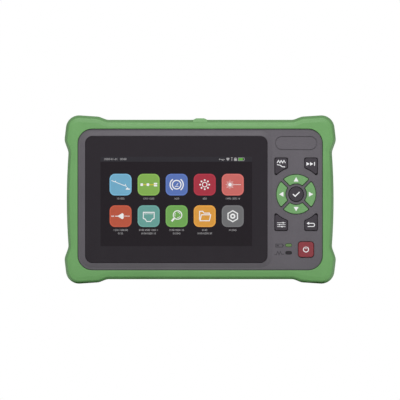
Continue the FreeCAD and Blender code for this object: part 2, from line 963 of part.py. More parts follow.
def housing_outline(inset):
    width, height = d.housing_width - inset * 2, d.housing_height - inset * 2
    return rounded(0, middle, width, height, d.housing_round - inset)


def panel_outline(inset):
    width, height = d.panel_width - inset * 2, d.panel_height - inset * 2
    return rounded(0, middle, width, height, d.panel_round - inset)


def glass_outline(grow):
    width, height = d.glass_width + grow * 2, d.glass_height + grow * 2
    return rounded(glass_x, middle, width, height, d.glass_round + grow)


def lamp_outline(z, grow):
    return slot(d.lamp_shift, z, d.lamp_length + grow * 2, d.lamp_width + grow * 2)


def make_front_housing():
    item = body()
    slab(item, "XZ", [housing_outline(0)], shoulder_front, split)
    slab(item, "XZ", [panel_outline(d.panel_fit)], panel_face, shoulder_front)
    soften(item, d.panel_edge_round, lambda edge: on_level(edge, panel_face))
    outer = glass_outline(d.bezel_rim + d.bezel_slope)
    loft(item, "XZ", outer, -panel_face, glass_outline(d.bezel_rim), -bezel_face)
    slab(item, "XZ", [housing_outline(d.shell_wall)], shoulder_front + d.shell_wall, split, taking=True)
    inner = panel_outline(d.panel_fit + d.shell_wall)
    slab(item, "XZ", [inner], panel_inner, shoulder_front + d.shell_wall, taking=True)
    slab(item, "XZ", [glass_outline(d.glass_fit)], bezel_face - PAST, glue_back, taking=True)
    slab(item, "XZ", [glass_outline(-d.ledge_width)], glue_back, panel_inner, taking=True)
    slab(item, "XZ", discs(CASE_SCREWS, d.case_boss_radius), panel_inner, split)
    slab(item, "XZ", discs(BRACKET_SCREWS, d.bracket_boss_radius), panel_inner, bracket_face)
    screw_end = split - d.case_screw_reach
    slab(item, "XZ", discs(CASE_SCREWS, d.case_screw_radius), screw_end, split, taking=True)
    pilots = discs(BRACKET_SCREWS, d.small_screw_radius)
    slab(item, "XZ", pilots, panel_inner, bracket_face, taking=True)
    lamps = [lamp_outline(z, d.lamp_fit) for z in LAMPS.values()]
    slab(item, "XZ", lamps, panel_face - PAST, panel_inner + PAST, taking=True)
    badge_z = middle + d.badge_rise
    outline = slot(pad_x, badge_z, d.badge_width, d.badge_height)
    island = slot(pad_x, badge_z, d.badge_width - d.badge_line * 2, d.badge_height - d.badge_line * 2)
    slab(item, "XZ", [outline, island], panel_face, panel_face + d.badge_depth, taking=True)
    holes = [prism(d.key_gap, panel_face - PAST, panel_inner + PAST) for prism, spot in KEYS.values()]
    return node(cut(item, *holes), "front_housing")


SQUARE_PORTS = [
    (-d.charging_jack_shift, d.charging_jack_side, d.charging_jack_side),
    (-d.usb_shift, d.usb_width, d.usb_depth),
    (-d.network_left_shift, d.network_width, d.network_depth),
    (d.network_right_shift, d.network_width, d.network_depth),
]
ROUND_PORTS = [
    (d.fault_shift, d.fault_barrel_radius),
    (d.power_meter_shift, d.meter_barrel_radius),
    (d.trace_port_shift, d.barrel_radius),
]


def port_outlines():
    y, grow = d.port_middle, d.port_hole_fit * 2
    square = [rectangle(x, y, width + grow, depth + grow) for x, width, depth in SQUARE_PORTS]
    return square + [disc(x, y, radius + d.port_hole_fit) for x, radius in ROUND_PORTS]


def well_outline(grow):
    y = (d.well_back - d.well_front) / 2
    width, length = (d.well_half_width + grow) * 2, d.well_back + d.well_front + grow * 2
    return rounded(0, y, width, length, d.well_corner + grow)


def box_outline(x, z, width, height, grow, corner):
    return rounded(x, z, width + grow * 2, height + grow * 2, corner)


def make_rear_housing():
    item = body()
    wall = d.shell_wall
    slab(item, "XZ", [housing_outline(0)], split, shoulder_back)
    slab(item, "XZ", [panel_outline(d.panel_fit)], shoulder_back, rear_face)
    soften(item, d.panel_edge_round, lambda edge: on_level(edge, rear_face))
    slab(item, "XZ", [housing_outline(wall)], split, shoulder_back - wall, taking=True)
    inner = panel_outline(d.panel_fit + wall)
    slab(item, "XZ", [inner], shoulder_back - wall, rear_inner, taking=True)
    # port well, seen from above
    slab(item, "XY", [well_outline(wall)], floor_low, housing_top - wall / 2)
    slab(item, "XY", [well_outline(0)], plate_low, housing_top + PAST, taking=True)
    slab(item, "XY", port_outlines(), floor_low - PAST, plate_low + PAST, taking=True)
    # battery bay, door ledge and the bed of the kickstand
    bay = d.battery_fit
    battery = (battery_x, battery_z, d.battery_width, d.battery_height)
    door = (battery_x, battery_z, d.door_width, d.door_height)
    bay_box = box_outline(*battery, bay + d.bay_wall, d.battery_round)
    slab(item, "XZ", [bay_box], bay_face - d.bay_wall, rear_inner)
    door_box = box_outline(*door, d.bay_wall + d.door_fit, d.door_round)
    slab(item, "XZ", [door_box], door_ledge - wall, rear_inner)
    bed_width = d.stand_width + d.stand_side_gap * 2
    bed_low = stand_foot - d.finger_notch
    bed_high = stand_axis_z + d.stand_thickness / 2 + d.stand_bed_gap
    bed_middle, bed_height = (bed_low + bed_high) / 2, bed_high - bed_low
    bed = (stand_x, bed_middle, bed_width, bed_height)
    slab(item, "XZ", [box_outline(*bed, wall, d.bed_corner)], stand_bed - wall, rear_inner)
    slab(item, "XZ", discs(CASE_SCREWS, d.rear_boss_radius), split, rear_inner)
    right = [spot for spot in BOARD_SCREWS if spot[0].value > 0]
    left = [spot for spot in BOARD_SCREWS if spot[0].value < 0]
    slab(item, "XZ", discs(right, d.board_boss_radius), main_back, rear_inner)
    slab(item, "XZ", discs(left, d.board_boss_radius), main_back, bay_face)
    slab(item, "XZ", discs(DOOR_SCREWS, d.door_boss_radius), door_boss_end, door_ledge)
    # pockets from behind
    outside = rear_face + PAST
    slab(item, "XZ", [box_outline(*battery, bay, d.battery_round)], bay_face, outside, taking=True)
    slab(item, "XZ", [box_outline(*door, d.door_fit, d.door_round)], door_ledge, outside, taking=True)
    slab(item, "XZ", [box_outline(*bed, 0, d.bed_corner)], stand_bed, outside, taking=True)
    # screw holes
    shaft = d.case_screw_radius + d.screw_hole_fit
    slab(item, "XZ", discs(CASE_SCREWS, shaft), split - PAST, head_seat + PAST, taking=True)
    head = d.case_head_radius + d.screw_hole_fit
    slab(item, "XZ", discs(CASE_SCREWS, head), head_seat, outside, taking=True)
    pilots = discs(BOARD_SCREWS, d.small_screw_radius)
    slab(item, "XZ", pilots, main_back, main_back + d.board_screw_reach, taking=True)
    door_pilots = discs(DOOR_SCREWS, d.small_screw_radius)
    slab(item, "XZ", door_pilots, door_pilot_end, door_ledge + PAST, taking=True)
    # slots for the battery contacts
    for z in contact_levels():
        blade = rectangle(battery_x, z, d.contact_blade_width, d.contact_blade_thickness)
        slab(item, "XZ", [blade], bay_face - d.bay_wall - PAST, bay_face + PAST, taking=True)
    # groove for the seal at the split
    rim = (d.shell_wall - d.seal_width) / 2
    ring = [housing_outline(rim), housing_outline(rim + d.seal_width)]
    slab(item, "XZ", ring, split, split + d.seal_depth, taking=True)
    # bores of the kickstand's pins
    bore = disc(stand_axis_y, stand_axis_z, d.stand_pin_radius)
    pin_end = bed_width / 2 + d.stand_pin_seat
    slab(item, "YZ", [bore], stand_x - pin_end, stand_x + pin_end, taking=True)
    # lugs of the flap's hinge
    top = housing_top - PAST
    radius = d.hinge_knuckle
    for low, high in LUGS:
        foot = [
            (hinge_y - radius, top), (hinge_y + radius, top),
            (hinge_y + radius, hinge_z), (hinge_y - radius, hinge_z),
        ]
        slab(item, "YZ", [polygon(foot)], low, high)
        slab(item, "YZ", [disc(hinge_y, hinge_z, radius)], low, high)
        bore = disc(hinge_y, hinge_z, d.hinge_pin_radius)
        slab(item, "YZ", [bore], low - PAST, high + PAST, taking=True)
    # screws of the port plate
    ends = discs(PLATE_SCREWS, d.small_screw_radius)
    slab(item, "XY", ends, floor_low - PAST, plate_low + PAST, taking=True)
    return node(item, "rear_housing")


def make_housing_seal():
    item = body()
    rim = (d.shell_wall - d.seal_width) / 2
    slab(item, "XZ", [housing_outline(rim), housing_outline(rim + d.seal_width)], split, split + d.seal_depth)
    return node(item, "housing_seal")


# ---- display ----------------------------------------------------------------------------

def make_cover_glass():
    item = body()
    slab(item, "XZ", [glass_outline(0)], glass_face, glass_back)
    soften(item, d.glass_edge_round, lambda edge: on_level(edge, glass_face))
    return node(item, "cover_glass")


def make_glass_gasket():
    item = body()
    slab(item, "XZ", [glass_outline(-d.bezel_rim), glass_outline(-d.ledge_width)], glass_back, glue_back)
    return node(item, "glass_gasket")


def make_display():
    item = body()
    outline = rounded(glass_x, middle, d.display_width, d.display_height, d.display_corner)
    slab(item, "XZ", [outline], display_face, display_back)
    node(item, "display_module")
    plate = body()
    outline = rounded(glass_x, middle, d.bracket_width, d.bracket_height, d.bracket_round)
    holes = discs(BRACKET_SCREWS, d.small_screw_radius + d.shank_fit)
    slab(plate, "XZ", [outline], bracket_face, bracket_back)
    slab(plate, "XZ", holes, bracket_face - PAST, bracket_back + PAST, taking=True)
    node(plate, "display_bracket")
    tip = panel_inner + d.screw_tip_gap
    node(group(*[small_screw("Y", bracket_back, tip, spot) for spot in BRACKET_SCREWS]), "display_screws")


def small_screw(axis, seat, tip, across):
    """A pan-head screw whose head sits on seat and whose shank ends at tip."""
    if seat.value > Size.of(tip).value:
        head = rod(axis, d.small_head_radius, seat, seat + d.small_head_height, across)
        shank = rod(axis, d.small_screw_radius, tip, seat, across)
    else:
        head = rod(axis, d.small_head_radius, seat - d.small_head_height, seat, across)
        shank = rod(axis, d.small_screw_radius, seat, tip, across)
    return fuse(head, shank)


def make_display_flex():
    """The display's ribbon, down past the bracket and back up to the main board."""
    item = body()
    t = d.flex_thickness
    top = middle - d.display_height / 2
    low = middle - d.bracket_height / 2 - d.flex_clear
    end = middle - d.main_board_bottom + d.flex_overlap
    start = panel_inner + d.glue_thickness
    points = [
        (start, top), (start, low), (main_face, low), (main_face, end),
        (main_face - t, end), (main_face - t, low + t), (start + t, low + t), (start + t, top),
    ]
    half = d.flex_width / 2
    slab(item, "YZ", [polygon(points)], glass_x - half, glass_x + half)
    return node(item, "display_flex")


# ---- keypad -----------------------------------------------------------------------------

def mat_outline(inset):
    height = d.mat_top + d.mat_bottom - inset * 2
    z = middle + (d.mat_top - d.mat_bottom) / 2
    return rounded(d.mat_shift, z, (d.mat_half_width - inset) * 2, height, d.mat_corner)


def make_keypad():
    item = body()
    slab(item, "XZ", [mat_outline(0)], mat_face, keypad_face)
    slab(item, "XZ", [mat_outline(d.mat_rim)], mat_back, keypad_face, taking=True)
    holes = [disc(*spot, d.plunger_radius + d.mat_hole_fit) for prism, spot in KEYS.values()]
    holes += [lamp_outline(z, d.mat_hole_fit) for z in LAMPS.values()]
    slab(item, "XZ", holes, mat_face - PAST, mat_back + PAST, taking=True)
    node(item, "keypad_mat")
    board = body()
    slab(board, "XZ", [mat_outline(0)], keypad_face, keypad_back)
    node(board, "keypad_board")
    domes = [rod("Y", d.dome_radius, dome_face, keypad_face, spot) for prism, spot in KEYS.values()]
    node(group(*domes), "key_domes")
    side = d.lamp_width
    chip_face = keypad_face - d.lamp_chip_height
    chips = [block(span(d.lamp_shift, side), (chip_face, keypad_face), span(z, side)) for z in LAMPS.values()]
    node(group(*chips), "status_leds")
    for name, z in LAMPS.items():
        pipe = body()
        slab(pipe, "XZ", [lamp_outline(z, 0)], panel_face - d.lamp_stand, chip_face)
        node(pipe, name)


# ---- inside -----------------------------------------------------------------------------

def make_main_board():
    item = body()
    height = d.main_board_top + d.main_board_bottom
    z = middle + (d.main_board_top - d.main_board_bottom) / 2
    outline = rounded(0, z, d.main_board_width, height, d.board_corner)
    slab(item, "XZ", [outline], main_face, main_back)
    holes = discs(BOARD_SCREWS, d.small_screw_radius + d.shank_fit)
    slab(item, "XZ", holes, main_face - PAST, main_back + PAST, taking=True)
    node(item, "main_board")
    tip = main_back + d.board_screw_reach
    node(group(*[small_screw("Y", main_face, tip, spot) for spot in BOARD_SCREWS]), "board_screws")
    side, z = d.shield_side, middle - d.shield_drop
    node(block(span(0, side), (main_face - d.shield_height, main_face), span(z, side)), "processor_shield")
    top = main_face - d.clock_cell_height
    node(rod("Y", d.clock_cell_radius, top, main_face, (d.clock_cell_shift, z)), "clock_cell")
    top = main_face - d.buzzer_height
    node(rod("Y", d.buzzer_radius, top, main_face, (-d.buzzer_shift, z)), "buzzer")


def make_optical_module():
    item = body()
    x, z = d.module_shift, middle - d.module_drop
    module_back = main_back + d.module_depth
    outline = rounded(x, z, d.module_width, d.module_height, d.board_corner)
    slab(item, "XZ", [outline], main_back, module_back)
    node(item, "optical_module")
    tray = body()
    tray_back = module_back + d.tray_depth
    slab(tray, "XZ", [disc(x, z, d.tray_radius)], module_back, tray_back)
    face = module_back + d.tray_wall
    slab(tray, "XZ", [disc(x, z, d.tray_radius - d.tray_wall)], face, tray_back, taking=True)
    slab(tray, "XZ", [disc(x, z, d.coil_inner_radius - d.coil_fit)], face, tray_back)
    node(tray, "fibre_tray")
    coil = body()
    outer = d.tray_radius - d.tray_wall - d.coil_fit
    back = tray_back - d.coil_fit
    slab(coil, "XZ", [disc(x, z, outer), disc(x, z, d.coil_inner_radius)], face, back)
    soften(coil, (back - face) * d.coil_round_share, lambda edge: edge.BoundBox.YLength < NEAR)
    node(coil, "fibre_coil")


def make_battery():
    item = body()
    corner = d.battery_round - d.battery_fit
    outline = rounded(battery_x, battery_z, d.battery_width, d.battery_height, corner)
    slab(item, "XZ", [outline], battery_face, battery_back)
    node(item, "battery_pack")
    x = span(battery_x, d.contact_blade_width)
    thick = d.contact_blade_thickness
    blades = [block(x, (main_back, battery_face), span(z, thick)) for z in contact_levels()]
    node(group(*blades), "battery_contacts")


def contact_levels():
    top = battery_z + d.battery_height / 2 - d.battery_round
    return [top - d.contact_blade_pitch * step for step in range(3)]


def make_battery_door():
    item = body()
    door = (battery_x, battery_z, d.door_width, d.door_height)
    outer = box_outline(*door, 0, d.door_round - d.door_fit)
    slab(item, "XZ", [outer], door_face, door_back)
    soften(item, d.door_edge_round, lambda edge: on_level(edge, door_back))
    shaft = discs(DOOR_SCREWS, d.small_screw_radius + d.shank_fit)
    slab(item, "XZ", shaft, door_face - PAST, door_back + PAST, taking=True)
    seat = door_back - d.small_head_height
    head = discs(DOOR_SCREWS, d.small_head_radius + d.screw_hole_fit)
    slab(item, "XZ", head, seat, door_back + PAST, taking=True)
    node(item, "battery_door")
    seal = body()
    inner = box_outline(*door, -d.door_seal_width, d.door_round - d.door_fit - d.door_seal_width)
    slab(seal, "XZ", [outer, inner], door_ledge, door_face)
    node(seal, "battery_door_seal")
    tip = door_pilot_end + d.pilot_room
    node(group(*[small_screw("Y", seat, tip, spot) for spot in DOOR_SCREWS]), "battery_door_screws")


def make_case_screws():
    tip = split - d.case_screw_reach + d.pilot_room
    screws = []
    for spot in CASE_SCREWS:
        head = rod("Y", d.case_head_radius, head_seat, head_seat + d.case_head_height, spot)
        shank = rod("Y", d.case_screw_radius, tip, head_seat, spot)
        screws.append(fuse(head, shank))
    return node(group(*screws), "case_screws")


STAND_RIBS = (0.3, 0.5, 0.7)  # shares of the kickstand's height


def make_kickstand():
    item = body()
    half = d.stand_width / 2
    height = stand_axis_z - stand_foot
    left, right = stand_x - half, stand_x + half
    plate = rounded(stand_x, stand_foot + height / 2, d.stand_width, height, d.stand_corner)
    slab(item, "XZ", [plate], stand_face, stand_back)
    slab(item, "YZ", [disc(stand_axis_y, stand_axis_z, d.stand_thickness / 2)], left, right)
    length = d.stand_width - d.stand_rib_inset * 2
    ribs = [slot(stand_x, stand_foot + height * share, length, d.stand_rib_width) for share in STAND_RIBS]
    slab(item, "XZ", ribs, stand_back - d.stand_rib_depth, stand_back + PAST, taking=True)
    hole = disc(stand_axis_y, stand_axis_z, d.stand_pin_radius + d.hinge_fit)
    slab(item, "YZ", [hole], right - d.stand_pin_grip, right + PAST, taking=True)
    slab(item, "YZ", [hole], left - PAST, left + d.stand_pin_grip, taking=True)
    node(item, "kickstand")
    seat = d.stand_side_gap + d.stand_pin_seat
    grip = d.stand_pin_grip - d.pin_end_gap
    spot = (stand_axis_y, stand_axis_z)
    ends = [(right - grip, right + seat), (left - seat, left + grip)]
    pins = [rod("X", d.stand_pin_radius, *end, spot) for end in ends]
    node(group(*pins), "kickstand_pins")


# ---- ports ------------------------------------------------------------------------------

def make_port_plate():
    item = body()
    length = d.well_back + d.well_front - d.plate_fit * 2
    y = (d.well_back - d.well_front) / 2
    width = (d.well_half_width - d.plate_fit) * 2
    slab(item, "XY", [rounded(0, y, width, length, d.well_corner)], plate_low, plate_top)
    holes = port_outlines() + discs(PLATE_SCREWS, d.small_screw_radius + d.shank_fit)
    slab(item, "XY", holes, plate_low - PAST, plate_top + PAST, taking=True)
    node(item, "port_plate")
    screws = [small_screw("Z", plate_top, floor_low, spot) for spot in PLATE_SCREWS]
    node(group(*screws), "port_plate_screws")


NETWORK_CONTACTS = 8  # in each jack


def make_electrical_ports():
    y, rim = d.port_middle, d.port_board_rim
    left = -d.charging_jack_shift - d.charging_jack_side / 2 - rim
    right = d.network_right_shift + d.network_width / 2 + rim
    board = block((left, right), span(y, d.network_depth + rim * 2), (port_board_low, port_board_top))
    node(board, "port_board")
    x = -d.charging_jack_shift
    side = d.charging_jack_side
    shell = block(span(x, side), span(y, side), (port_board_top, port_top))
    floor = port_top - d.charging_bore_depth
    bore = rod("Z", d.charging_bore_radius, floor, port_top + PAST, (x, y))
    node(cut(shell, bore), "charging_jack")
    tip = port_top - d.charging_pin_drop
    node(rod("Z", d.charging_pin_radius, floor, tip, (x, y)), "charging_pin")
    x = -d.usb_shift
    wall = d.usb_wall
    shell = block(span(x, d.usb_width), span(y, d.usb_depth), (port_board_top, port_top))
    floor = port_top - d.usb_slot_depth
    width, depth = d.usb_width - wall * 2, d.usb_depth - wall * 2
    hollow = block(span(x, width), span(y, depth), (floor, port_top + PAST))
    node(cut(shell, hollow), "usb_socket")
    back = y + depth / 2 - d.usb_tongue_inset
    tongue = (back - d.usb_tongue_thickness, back)
    tip = port_top - d.usb_tongue_drop
    node(block(span(x, width - d.usb_tongue_side * 2), tongue, (floor, tip)), "usb_tongue")
    contacts = []
    for name, x in (("left", -d.network_left_shift), ("right", d.network_right_shift)):
        shell = block(span(x, d.network_width), span(y, d.network_depth), (port_board_top, port_top))
        floor = port_top - d.network_slot_reach
        back = y + d.network_depth / 2 - d.network_wall
        face = back - d.network_slot_depth
        hollow = block(span(x, d.network_slot_width), (face, back), (floor, port_top + PAST))
        latch = block(span(x, d.latch_width), (face - d.latch_depth, face + PAST), (floor, port_top + PAST))
        node(cut(shell, hollow, latch), "network_jack_" + name)
        z = (floor, port_top - d.contact_drop)
        for step in range(NETWORK_CONTACTS):
            at = x + d.contact_pitch * (step - (NETWORK_CONTACTS - 1) / 2)
            contacts.append(block(span(at, d.contact_width), (back - d.contact_thickness, back), z))
    node(group(*contacts), "network_contacts")


def make_adaptor(name, x, radius, recessed):
    """A ferrule adaptor: barrel, flange on the plate, tail below it, and the ferrule's bore."""
    spot = (x, d.port_middle)
    barrel = rod("Z", radius, plate_low - d.adaptor_tail, port_top, spot)
    seat = plate_top + d.adaptor_flange_thickness
    flange = rod("Z", radius + d.adaptor_flange_grow, plate_top, seat, spot)
    tools = [rod("Z", d.ferrule_radius, port_top - d.ferrule_depth, port_top + PAST, spot)]
    if recessed:
        floor = port_top - d.sleeve_recess
        well = rod("Z", radius - d.barrel_wall, floor, port_top + PAST, spot)
        sleeve = rod("Z", d.sleeve_radius, floor - PAST, port_top + PAST * 2, spot)
        tools.append(cut(well, sleeve))
    return node(cut(fuse(barrel, flange), *tools), name)


def make_optical_ports():
    make_adaptor("otdr_adaptor", d.trace_port_shift, d.barrel_radius, True)
    make_adaptor("power_meter_adaptor", d.power_meter_shift, d.meter_barrel_radius, True)
    make_adaptor("fault_locator_adaptor", d.fault_shift, d.fault_barrel_radius, False)
    low = plate_low - d.adaptor_tail
    y = d.port_middle
    radius = d.meter_barrel_radius - d.can_inset
    node(rod("Z", radius, low - d.detector_length, low, (d.power_meter_shift, y)), "power_meter_detector")
    radius = d.fault_barrel_radius - d.can_inset
    laser = rod("Z", radius, low - d.laser_length, low, (d.fault_shift, y))
    node(laser, "fault_locator_laser")


def make_flap():
    item = body()
    low = housing_top + d.flap_seat_gap
    plate = rectangle(0, (hinge_y - d.flap_front) / 2, d.flap_half_width * 2, hinge_y + d.flap_front)
    slab(item, "XY", [plate], low, band_top)

    def front_corner(edge):
        box = edge.BoundBox
        return max(box.XLength, box.YLength) < NEAR and box.YMin < 0
    soften(item, d.flap_corner, front_corner)
    slab(item, "YZ", [disc(hinge_y, hinge_z, d.hinge_knuckle)], -d.flap_half_width, d.flap_half_width)
    half_base, half_top = d.tab_base / 2, d.tab_top / 2
    base, tip = band_top - d.tab_sink, band_top + d.tab_rise
    lean = half_base + (half_base - half_top) * d.tab_sink / d.tab_rise
    tab = [(-lean, base), (lean, base), (half_top, tip), (-half_top, tip)]
    slab(item, "XZ", [polygon(tab)], -d.flap_front, -d.flap_front + d.tab_depth)
    seal_front, seal_back = d.flap_seal_clear - d.well_front, d.well_back - d.flap_seal_clear
    rim = d.flap_seal_width + d.flap_seal_rib
    front, back = seal_front + rim, seal_back - rim
    width = (d.well_half_width - d.flap_seal_clear - rim) * 2
    hollow = rounded(0, (front + back) / 2, width, back - front, d.flap_hollow_corner)
    slab(item, "XY", [hollow], low - PAST, band_top - d.flap_skin, taking=True)
    reach = d.hinge_knuckle + d.lug_gap
    for left, right in LUGS:
        notch = rectangle((left + right) / 2, hinge_y, right - left + d.lug_gap * 2, reach * 2)
        slab(item, "XY", [notch], low - PAST, band_top + PAST, taking=True)
    hole = disc(hinge_y, hinge_z, d.hinge_pin_radius + d.hinge_fit)
    near, far = hinge_pin_near - d.pin_end_gap, hinge_pin_far + d.pin_end_gap
    slab(item, "YZ", [hole], near, far, taking=True)
    slab(item, "YZ", [hole], -far, -near, taking=True)
    node(item, "port_flap")
    seal = body()
    y, length = (seal_front + seal_back) / 2, seal_back - seal_front
    width = (d.well_half_width - d.flap_seal_clear) * 2
    inset = d.flap_seal_width * 2
    ring = [
        rounded(0, y, width, length, d.flap_seal_corner),
        rounded(0, y, width - inset, length - inset, d.flap_seal_corner - d.flap_seal_width),
    ]
    slab(seal, "XY", ring, low - d.flap_seal_depth, low)
    node(seal, "port_flap_seal")
    spot = (hinge_y, hinge_z)
    pins = [
        rod("X", d.hinge_pin_radius, hinge_pin_near, hinge_pin_far, spot),
        rod("X", d.hinge_pin_radius, -hinge_pin_far, -hinge_pin_near, spot),
    ]
    node(group(*pins), "flap_hinge_pins")


make_boot()
make_front_housing()
make_rear_housing()
make_housing_seal()
make_cover_glass()
make_glass_gasket()
make_display()
make_display_flex()
for key in KEYS:
    make_key(key)
make_keypad()
make_main_board()
make_optical_module()
make_port_plate()
make_electrical_ports()
make_optical_ports()
make_flap()
make_battery()
make_battery_door()
make_case_screws()
make_kickstand()
doc.recompute()

for item in doc.Objects:
    if "Invalid" in item.State or "Error" in item.State:
        raise RuntimeError("%s (%s) did not build" % (item.Label, item.Name))
os.makedirs("parts", exist_ok=True)
for item in NODES:
    if item.Shape.isNull() or not item.Shape.isValid() or not item.Shape.Solids:
        raise RuntimeError("%s has no sound solid" % item.Label)
for item in NODES:
    item.Shape.exportStep("parts/%s.step" % item.Label)
print("%d sub-parts written" % len(NODES))
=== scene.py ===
import json
import math
import bmesh
import bpy
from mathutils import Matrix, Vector


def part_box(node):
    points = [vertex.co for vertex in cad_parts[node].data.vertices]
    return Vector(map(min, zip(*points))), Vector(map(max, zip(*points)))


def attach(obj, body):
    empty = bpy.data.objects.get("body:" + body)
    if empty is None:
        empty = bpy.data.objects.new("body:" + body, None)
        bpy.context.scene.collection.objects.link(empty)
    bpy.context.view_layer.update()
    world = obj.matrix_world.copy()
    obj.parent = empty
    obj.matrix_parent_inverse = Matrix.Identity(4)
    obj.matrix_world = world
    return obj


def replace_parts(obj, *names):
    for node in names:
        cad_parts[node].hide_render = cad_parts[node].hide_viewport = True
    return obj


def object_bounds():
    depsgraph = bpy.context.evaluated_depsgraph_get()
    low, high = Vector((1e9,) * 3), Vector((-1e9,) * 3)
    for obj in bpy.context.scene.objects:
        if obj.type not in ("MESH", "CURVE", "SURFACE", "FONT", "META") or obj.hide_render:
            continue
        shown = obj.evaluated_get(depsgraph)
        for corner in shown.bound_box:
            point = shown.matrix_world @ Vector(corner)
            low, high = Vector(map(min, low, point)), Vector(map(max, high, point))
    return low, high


# Looks of the handheld optical time domain reflectometer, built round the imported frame.
# Metres, +X to the right seen from the front, the front faces -Y, +Z up.

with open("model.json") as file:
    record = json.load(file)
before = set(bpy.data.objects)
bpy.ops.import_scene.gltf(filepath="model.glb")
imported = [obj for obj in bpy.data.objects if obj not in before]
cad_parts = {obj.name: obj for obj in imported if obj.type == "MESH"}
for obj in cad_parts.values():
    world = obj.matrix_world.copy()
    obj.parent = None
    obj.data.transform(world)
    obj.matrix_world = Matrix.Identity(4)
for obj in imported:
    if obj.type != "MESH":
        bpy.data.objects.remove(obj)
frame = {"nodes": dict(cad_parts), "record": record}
cad_low, cad_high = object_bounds()
NODES = frame["nodes"]
MM = 0.001
TURN = math.tau

glass_low, glass_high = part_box("cover_glass")
glass_x = (glass_low.x + glass_high.x) / 2
glass_z = (glass_low.z + glass_high.z) / 2
centre_low, centre_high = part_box("centre_key")
pad_x = (centre_low.x + centre_high.x) / 2
pad_z = (centre_low.z + centre_high.z) / 2
middle = (cad_low + cad_high) / 2


# ---- materials --------------------------------------------------------------------------

class Finish:
    """A principled material with procedural detail, in the object's own metres."""

    def __init__(self, name, **constants):
        self.material = bpy.data.materials.new(name)
        self.material.use_nodes = True
        self.nodes = self.material.node_tree.nodes
        self.links = self.material.node_tree.links
        self.shader = self.nodes["Principled BSDF"]
        place = self.nodes.new("ShaderNodeTexCoord")
        self.place = place.outputs["Object"]
        for socket, value in constants.items():
            self.shader.inputs[socket.replace("_", " ").title().replace("Ior", "IOR")].default_value = value

    def noise(self, size, detail=3.0, stretch=(1, 1, 1)):
        """Noise from 0 to 1 whose blotches are about this size, drawn out along an axis by stretch."""
        texture = self.nodes.new("ShaderNodeTexNoise")
        texture.inputs["Scale"].default_value = 1 / size
        texture.inputs["Detail"].default_value = detail
        squeeze = self.nodes.new("ShaderNodeMapping")
        squeeze.inputs["Scale"].default_value = [1 / part for part in stretch]
        self.links.new(self.place, squeeze.inputs["Vector"])
        self.links.new(squeeze.outputs["Vector"], texture.inputs["Vector"])
        return texture.outputs["Fac"]

    def spread(self, value, low, high):
        """The value's usual range, 0.3 to 0.7 for noise, mapped to low to high."""
        ramp = self.nodes.new("ShaderNodeMapRange")
        ramp.inputs["From Min"].default_value = 0.3
        ramp.inputs["From Max"].default_value = 0.7
        ramp.inputs["To Min"].default_value = low
        ramp.inputs["To Max"].default_value = high
        self.links.new(value, ramp.inputs["Value"])
        return ramp.outputs["Result"]

    def blend(self, share, first, second):
        mix = self.nodes.new("ShaderNodeMix")
        mix.data_type = "RGBA"
        for socket, value in (("A", first), ("B", second)):
            socket = [s for s in mix.inputs if s.name == socket and s.type == "RGBA"][0]
            if isinstance(value, bpy.types.NodeSocket):
                self.links.new(value, socket)
            else:
                socket.default_value = (*value, 1)
        self.links.new(share, mix.inputs["Factor"])
        return [s for s in mix.outputs if s.type == "RGBA"][0]

    def colour(self, first, second, size, stretch=(1, 1, 1)):
        """Base colour that wanders between two tones."""
        share = self.spread(self.noise(size, stretch=stretch), 0, 1)
        self.links.new(self.blend(share, first, second), self.shader.inputs["Base Color"])

    def rough(self, low, high, size, stretch=(1, 1, 1)):
        share = self.spread(self.noise(size, stretch=stretch), low, high)
        self.links.new(share, self.shader.inputs["Roughness"])

    def bump(self, height, depth):
        node = self.nodes.new("ShaderNodeBump")
        node.inputs["Strength"].default_value = 1.0
        node.inputs["Distance"].default_value = depth
        self.links.new(height, node.inputs["Height"])
        self.links.new(node.outputs["Normal"], self.shader.inputs["Normal"])


def tones(colour, share):
    """A darker and a lighter tone of a colour."""
    return [channel * (1 - share) for channel in colour], [channel * (1 + share) for channel in colour]


def srgb(red, green, blue):
    """Linear colour from 8-bit display values."""
    return tuple((channel / 255) ** 2.2 for channel in (red, green, blue))


def moulded(name, colour, rough, grain=0.012 * MM, grain_size=0.35 * MM, mottle=0.03, **constants):
    """Moulded plastic or rubber: a fine sparked grain and faint uneven tone."""
    made = Finish(name, **constants)
    made.colour(*tones(colour, mottle), 14 * MM)
    made.rough(rough - 0.05, rough + 0.06, 3 * MM)
    made.bump(made.noise(grain_size, detail=4.0), grain)
    return made.material


def brushed(name, colour, rough, stretch=(1, 14, 1), **constants):
    """Metal with fine drawn lines."""
    made = Finish(name, metallic=1.0, **constants)
    made.colour(*tones(colour, 0.06), 0.5 * MM, stretch)
    made.rough(rough - 0.06, rough + 0.08, 0.4 * MM, stretch)
    made.bump(made.noise(0.25 * MM, stretch=stretch), 0.002 * MM)
    return made.material


def polished_glass(name, colour):
    """Black-backed cover glass: clear gloss with the faintest smears."""
    made = Finish(name, ior=GLASS_IOR)
    made.colour(*tones(colour, 0.02), 60 * MM)
    made.rough(0.07, 0.13, 9 * MM, (1, 1, 2.5))
    return made.material


def lit(name, colour, glow):
    """A patch of the lit display, seen through the glass."""
    made = Finish(name, ior=GLASS_IOR, roughness=0.1, emission_strength=glow)
    made.colour(*tones(colour, 0.015), 3 * MM)
    made.shader.inputs["Emission Color"].default_value = (*colour, 1)
    return made.material


def lamp_lens(name, colour, glow):
    """A frosted light pipe, with the lamp's glow behind it."""
    made = Finish(name, specular_ior_level=0.3, emission_strength=glow)
    made.colour(*tones(colour, 0.05), 1.2 * MM)
    made.rough(0.3, 0.42, 0.8 * MM)
    made.shader.inputs["Emission Color"].default_value = (*colour, 1)
    made.bump(made.noise(0.3 * MM), 0.004 * MM)
    return made.material


